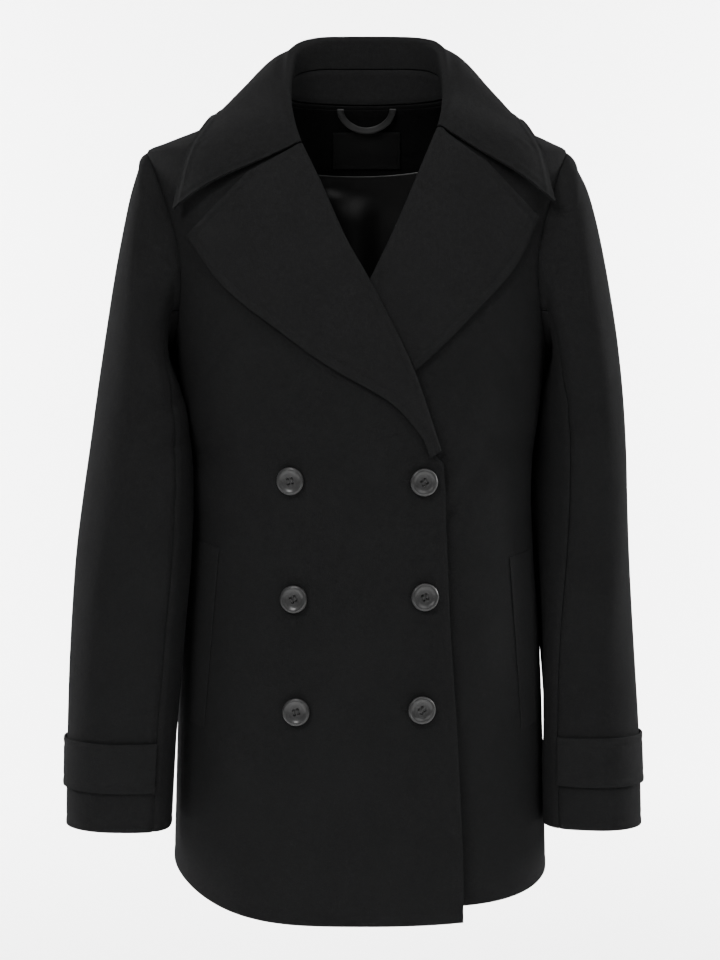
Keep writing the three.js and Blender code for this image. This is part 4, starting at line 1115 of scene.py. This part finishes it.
def makeWelt(name, look):
    ends = np.array([0, 1, 2.2, 3.6, 5, 7, 10]) / 169
    down = np.concatenate([ends, np.linspace(0.08, 0.92, 60), 1 - ends[::-1]])[:, None]
    edges = np.array([0, 0.05, 0.1, 0.16, 0.23, 0.3, 0.38])
    share = np.concatenate([edges, np.linspace(0.45, 0.93, 8), [0.97, 1]])[None, :]
    side = look["side"]
    x = mix(look["topIn"], look["bottomIn"], down)
    x = x + side * mix(look["topWide"], look["bottomWide"], down) * share
    z = mix(look["topZ"], look["bottomZ"], down) + look["lift"] * share
    p = onFront(side, x, z, cloth["wool"] / 2 + weltCloth["thick"] / 2 + weltCloth["clear"])
    sewn = sum(hump(distanceTo(p, line), 0, 3) for line in (p[0], p[-1], p[:, -1]))
    lift = 0.3 * edgeRoll(distanceTo(p, p[:, 0])) - 0.6 * sewn
    p = p + normalAt(p) * lift[..., None]
    piece = makeCloth(name, p, weltCloth["thick"], facingWool, name, bevel=0.6,
                      flipped=side > 0)


for weltName, look in weltLook.items():
    makeWelt(weltName, look)

# buttons: a dished disc with a rim, four holes and two bars of thread
buttonLook = dict(radius=12.5, shank=1.5, holeAt=2.6, hole=1.45)
buttonRows = [
    dict(x=-61, z=-363, turn=0), dict(x=56, z=-364, turn=45), dict(x=-58.5, z=-470, turn=20),
    dict(x=57, z=-468, turn=32), dict(x=-56.5, z=-572, turn=8), dict(x=54.5, z=-570, turn=50),
]


def makeButton(number, row):
    r, base = buttonLook["radius"], buttonLook["shank"]
    profile = [
        (0.01, base + 2.5), (3.9, base + 2.55), (r - 5.2, base + 2.75), (r - 4.2, base + 3.15),
        (r - 3.3, base + 3.75), (r - 2.4, base + 4.0), (r - 1.4, base + 3.95), (r - 0.5, base + 3.45),
        (r, base + 2.6), (r, base + 1.8), (r - 0.6, base + 0.9), (r - 1.8, base + 0.35), (4, base),
        (0.01, base),
    ]
    bm = bmesh.new()
    verts = [bm.verts.new((radius / 1000, 0, height / 1000)) for radius, height in profile]
    edges = [bm.edges.new(pair) for pair in zip(verts[:-1], verts[1:])]
    bmesh.ops.spin(bm, geom=verts + edges, axis=(0, 0, 1), cent=(0, 0, 0), angle=2 * math.pi, steps=56,
                   use_merge=True)
    bmesh.ops.remove_doubles(bm, verts=bm.verts, dist=3e-5)
    bmesh.ops.recalc_face_normals(bm, faces=bm.faces)
    for face in bm.faces:
        face.smooth = True
    disc = bpy.data.meshes.new("disc")
    bm.to_mesh(disc)
    bm.free()
    cutters = bmesh.new()
    for k in range(4):
        turn = math.radians(45 + 90 * k)
        place = Matrix.Translation((buttonLook["holeAt"] / 1000 * math.cos(turn),
                                    buttonLook["holeAt"] / 1000 * math.sin(turn), 0.004))
        bmesh.ops.create_cone(cutters, cap_ends=True, segments=14, radius1=buttonLook["hole"] / 1000,
                              radius2=buttonLook["hole"] / 1000, depth=0.012, matrix=place)
    holes = bpy.data.meshes.new("holes")
    cutters.to_mesh(holes)
    cutters.free()
    discPiece = bpy.data.objects.new("disc", disc)
    holePiece = bpy.data.objects.new("holes", holes)
    for piece in (discPiece, holePiece):
        bpy.context.scene.collection.objects.link(piece)
    drill = discPiece.modifiers.new("drill", "BOOLEAN")
    drill.operation = "DIFFERENCE"
    drill.solver = "EXACT"
    drill.object = holePiece
    bpy.context.view_layer.update()
    drilled = bpy.data.meshes.new_from_object(discPiece.evaluated_get(bpy.context.evaluated_depsgraph_get()))
    bm = bmesh.new()
    bm.from_mesh(drilled)
    for piece in (discPiece, holePiece):
        bpy.data.objects.remove(piece)
    foot = onFront(-1, np.array([row["x"]]), np.array([row["z"]]), cloth["wool"] / 2 + cloth["seam"])
    out = Vector(normalAt(foot)[0])
    lift = Vector((0, 0, 1)).rotation_difference(out).to_matrix().to_4x4()
    turn = Matrix.Rotation(math.radians(row["turn"]), 4, "Z")
    place = Matrix.Translation(Vector(foot[0] / 1000)) @ lift @ turn
    turnedFace = bm.loops.layers.uv.new("turned")
    for face in bm.faces:
        for corner in face.loops:
            corner[turnedFace].uv = (corner.vert.co.x, corner.vert.co.y)
    bmesh.ops.transform(bm, matrix=place, verts=bm.verts)
    name = f"button_{number}"
    piece = finishPiece(name, bm, horn, name)
    piece.data.set_sharp_from_angle(angle=math.radians(40))

    bm = bmesh.new()
    across = buttonLook["holeAt"] / 1000 * math.sqrt(0.5)
    for side in (-1, 1):
        for strand in (-0.3, 0.3):
            bar = Matrix.Translation((side * across + strand / 1000, 0, (base + 2.95) / 1000))
            bmesh.ops.create_uvsphere(
                bm, u_segments=8, v_segments=12, radius=1,
                matrix=bar @ Matrix.Diagonal((0.00042, across * 1.25, 0.0006, 1)))
    bmesh.ops.create_cone(bm, cap_ends=True, segments=14, radius1=0.0024, radius2=0.0019,
                          depth=(base + 0.3) / 1000, matrix=Matrix.Translation((0, 0, base / 2000)))
    for face in bm.faces:
        face.smooth = True
    bmesh.ops.transform(bm, matrix=place, verts=bm.verts)
    finishPiece(f"button_thread_{number}", bm, thread)


for number, row in enumerate(buttonRows, 1):
    makeButton(number, row)
print("buttons made")

# buttonholes: a slit with a raised ring of close stitches, ending beside the button
holeLook = dict(long=22, wide=2.0, ring=1.1, high=0.3, inner=58)


def makeButtonhole(number, z):
    turns = np.linspace(0, 2 * np.pi, 72, endpoint=False)
    middle = holeLook["inner"] - holeLook["long"] / 2
    run = np.sign(np.cos(turns)) * np.abs(np.cos(turns)) ** 0.35
    x = middle + (holeLook["long"] - holeLook["wide"]) / 2 * run
    x = x + holeLook["wide"] / 2 * np.cos(turns)
    line = onFront(-1, x, z + holeLook["wide"] / 2 * np.sin(turns), cloth["wool"] / 2)
    section = dict(sides=8, wide=holeLook["ring"], thick=holeLook["high"], out=(0, -1, 0))
    sweep(f"buttonhole_{number}", line, section, facingWool, closed=True)


for number, row in enumerate([buttonRows[1], buttonRows[3], buttonRows[5]], 1):
    makeButtonhole(number, row["z"])
print("buttonholes made")

# floor, light and camera
stageLook = dict(floor=-1.02, back=1.6, wide=9.0, near=-4.5, high=4.5, curve=0.9)


def makeStage():
    bm = bmesh.new()
    line = [Vector((-stageLook["wide"] / 2, stageLook["near"], stageLook["floor"]))]
    for k in range(17):
        turn = math.pi / 2 * k / 16
        line.append(Vector((-stageLook["wide"] / 2,
                            stageLook["back"] + stageLook["curve"] * math.sin(turn),
                            stageLook["floor"] + stageLook["curve"] * (1 - math.cos(turn)))))
    line.append(Vector((-stageLook["wide"] / 2, stageLook["back"] + stageLook["curve"], stageLook["high"])))
    verts = [bm.verts.new(place) for place in line]
    edges = [bm.edges.new(pair) for pair in zip(verts[:-1], verts[1:])]
    swept = bmesh.ops.extrude_edge_only(bm, edges=edges)["geom"]
    moved = [part for part in swept if isinstance(part, bmesh.types.BMVert)]
    bmesh.ops.translate(bm, vec=(stageLook["wide"], 0, 0), verts=moved)
    bmesh.ops.recalc_face_normals(bm, faces=bm.faces)
    for face in bm.faces:
        face.smooth = True
    mesh = bpy.data.meshes.new("paleFloor")
    bm.to_mesh(mesh)
    bm.free()
    finish = Finish("paleFloor")
    finish.set(Base_Color=(0.9, 0.9, 0.9), Roughness=0.9, Specular_IOR_Level=0.1)
    mesh.materials.append(finish.material)
    floor = bpy.data.objects.new("paleFloor", mesh)
    bpy.context.scene.collection.objects.link(floor)


lightRows = [
    dict(name="key", place=(-1.4, -2.5, 2.0), size=1.2, power=125),
    dict(name="fill", place=(1.9, -2.2, 1.6), size=1.8, power=62),
    dict(name="rimLeft", place=(-2.2, 0.3, 0.8), size=1.6, power=12),
    dict(name="rimRight", place=(2.2, 0.3, 0.8), size=1.6, power=18),
    dict(name="top", place=(0.0, -0.3, 2.2), size=1.4, power=60),
    dict(name="spark", place=(-0.8, -2.5, 0.75), size=0.22, power=4),
    dict(name="backdropLeft", place=(-2.6, 1.2, 0.3), aim=(0.6, 2.5, -0.4), size=1.2, power=400),
    dict(name="backdropRight", place=(2.6, 1.2, 0.3), aim=(-0.6, 2.5, -0.4), size=1.2, power=400),
]


def makeLights():
    for row in lightRows:
        light = bpy.data.lights.new(row["name"], "AREA")
        light.size = row["size"]
        light.energy = row["power"]
        lamp = bpy.data.objects.new(row["name"], light)
        lamp.location = row["place"]
        aim = Vector(row.get("aim", (0, 0.1, -0.4))) - Vector(row["place"])
        lamp.rotation_euler = aim.to_track_quat("-Z", "Y").to_euler()
        bpy.context.scene.collection.objects.link(lamp)
    world = bpy.data.worlds.new("studio")
    world.use_nodes = True
    sky = world.node_tree.nodes["Background"]
    sky.inputs["Color"].default_value = (1, 1, 1, 1)
    sky.inputs["Strength"].default_value = 0.18
    bpy.context.scene.world = world


cameraLook = dict(place=(0.0, -2.1916, -0.1833), aim=(0.0, 0.0, -0.375), lens=85.94)


def makeCamera():
    camera = bpy.data.cameras.new("camera")
    camera.lens = cameraLook["lens"]
    camera.sensor_width = 36
    camera.sensor_fit = "AUTO"
    seat = bpy.data.objects.new("camera", camera)
    seat.location = cameraLook["place"]
    aim = Vector(cameraLook["aim"]) - Vector(cameraLook["place"])
    seat.rotation_euler = aim.to_track_quat("-Z", "Y").to_euler()
    bpy.context.scene.collection.objects.link(seat)
    bpy.context.scene.camera = seat


makeStage()
makeLights()
makeCamera()
print("stage made")
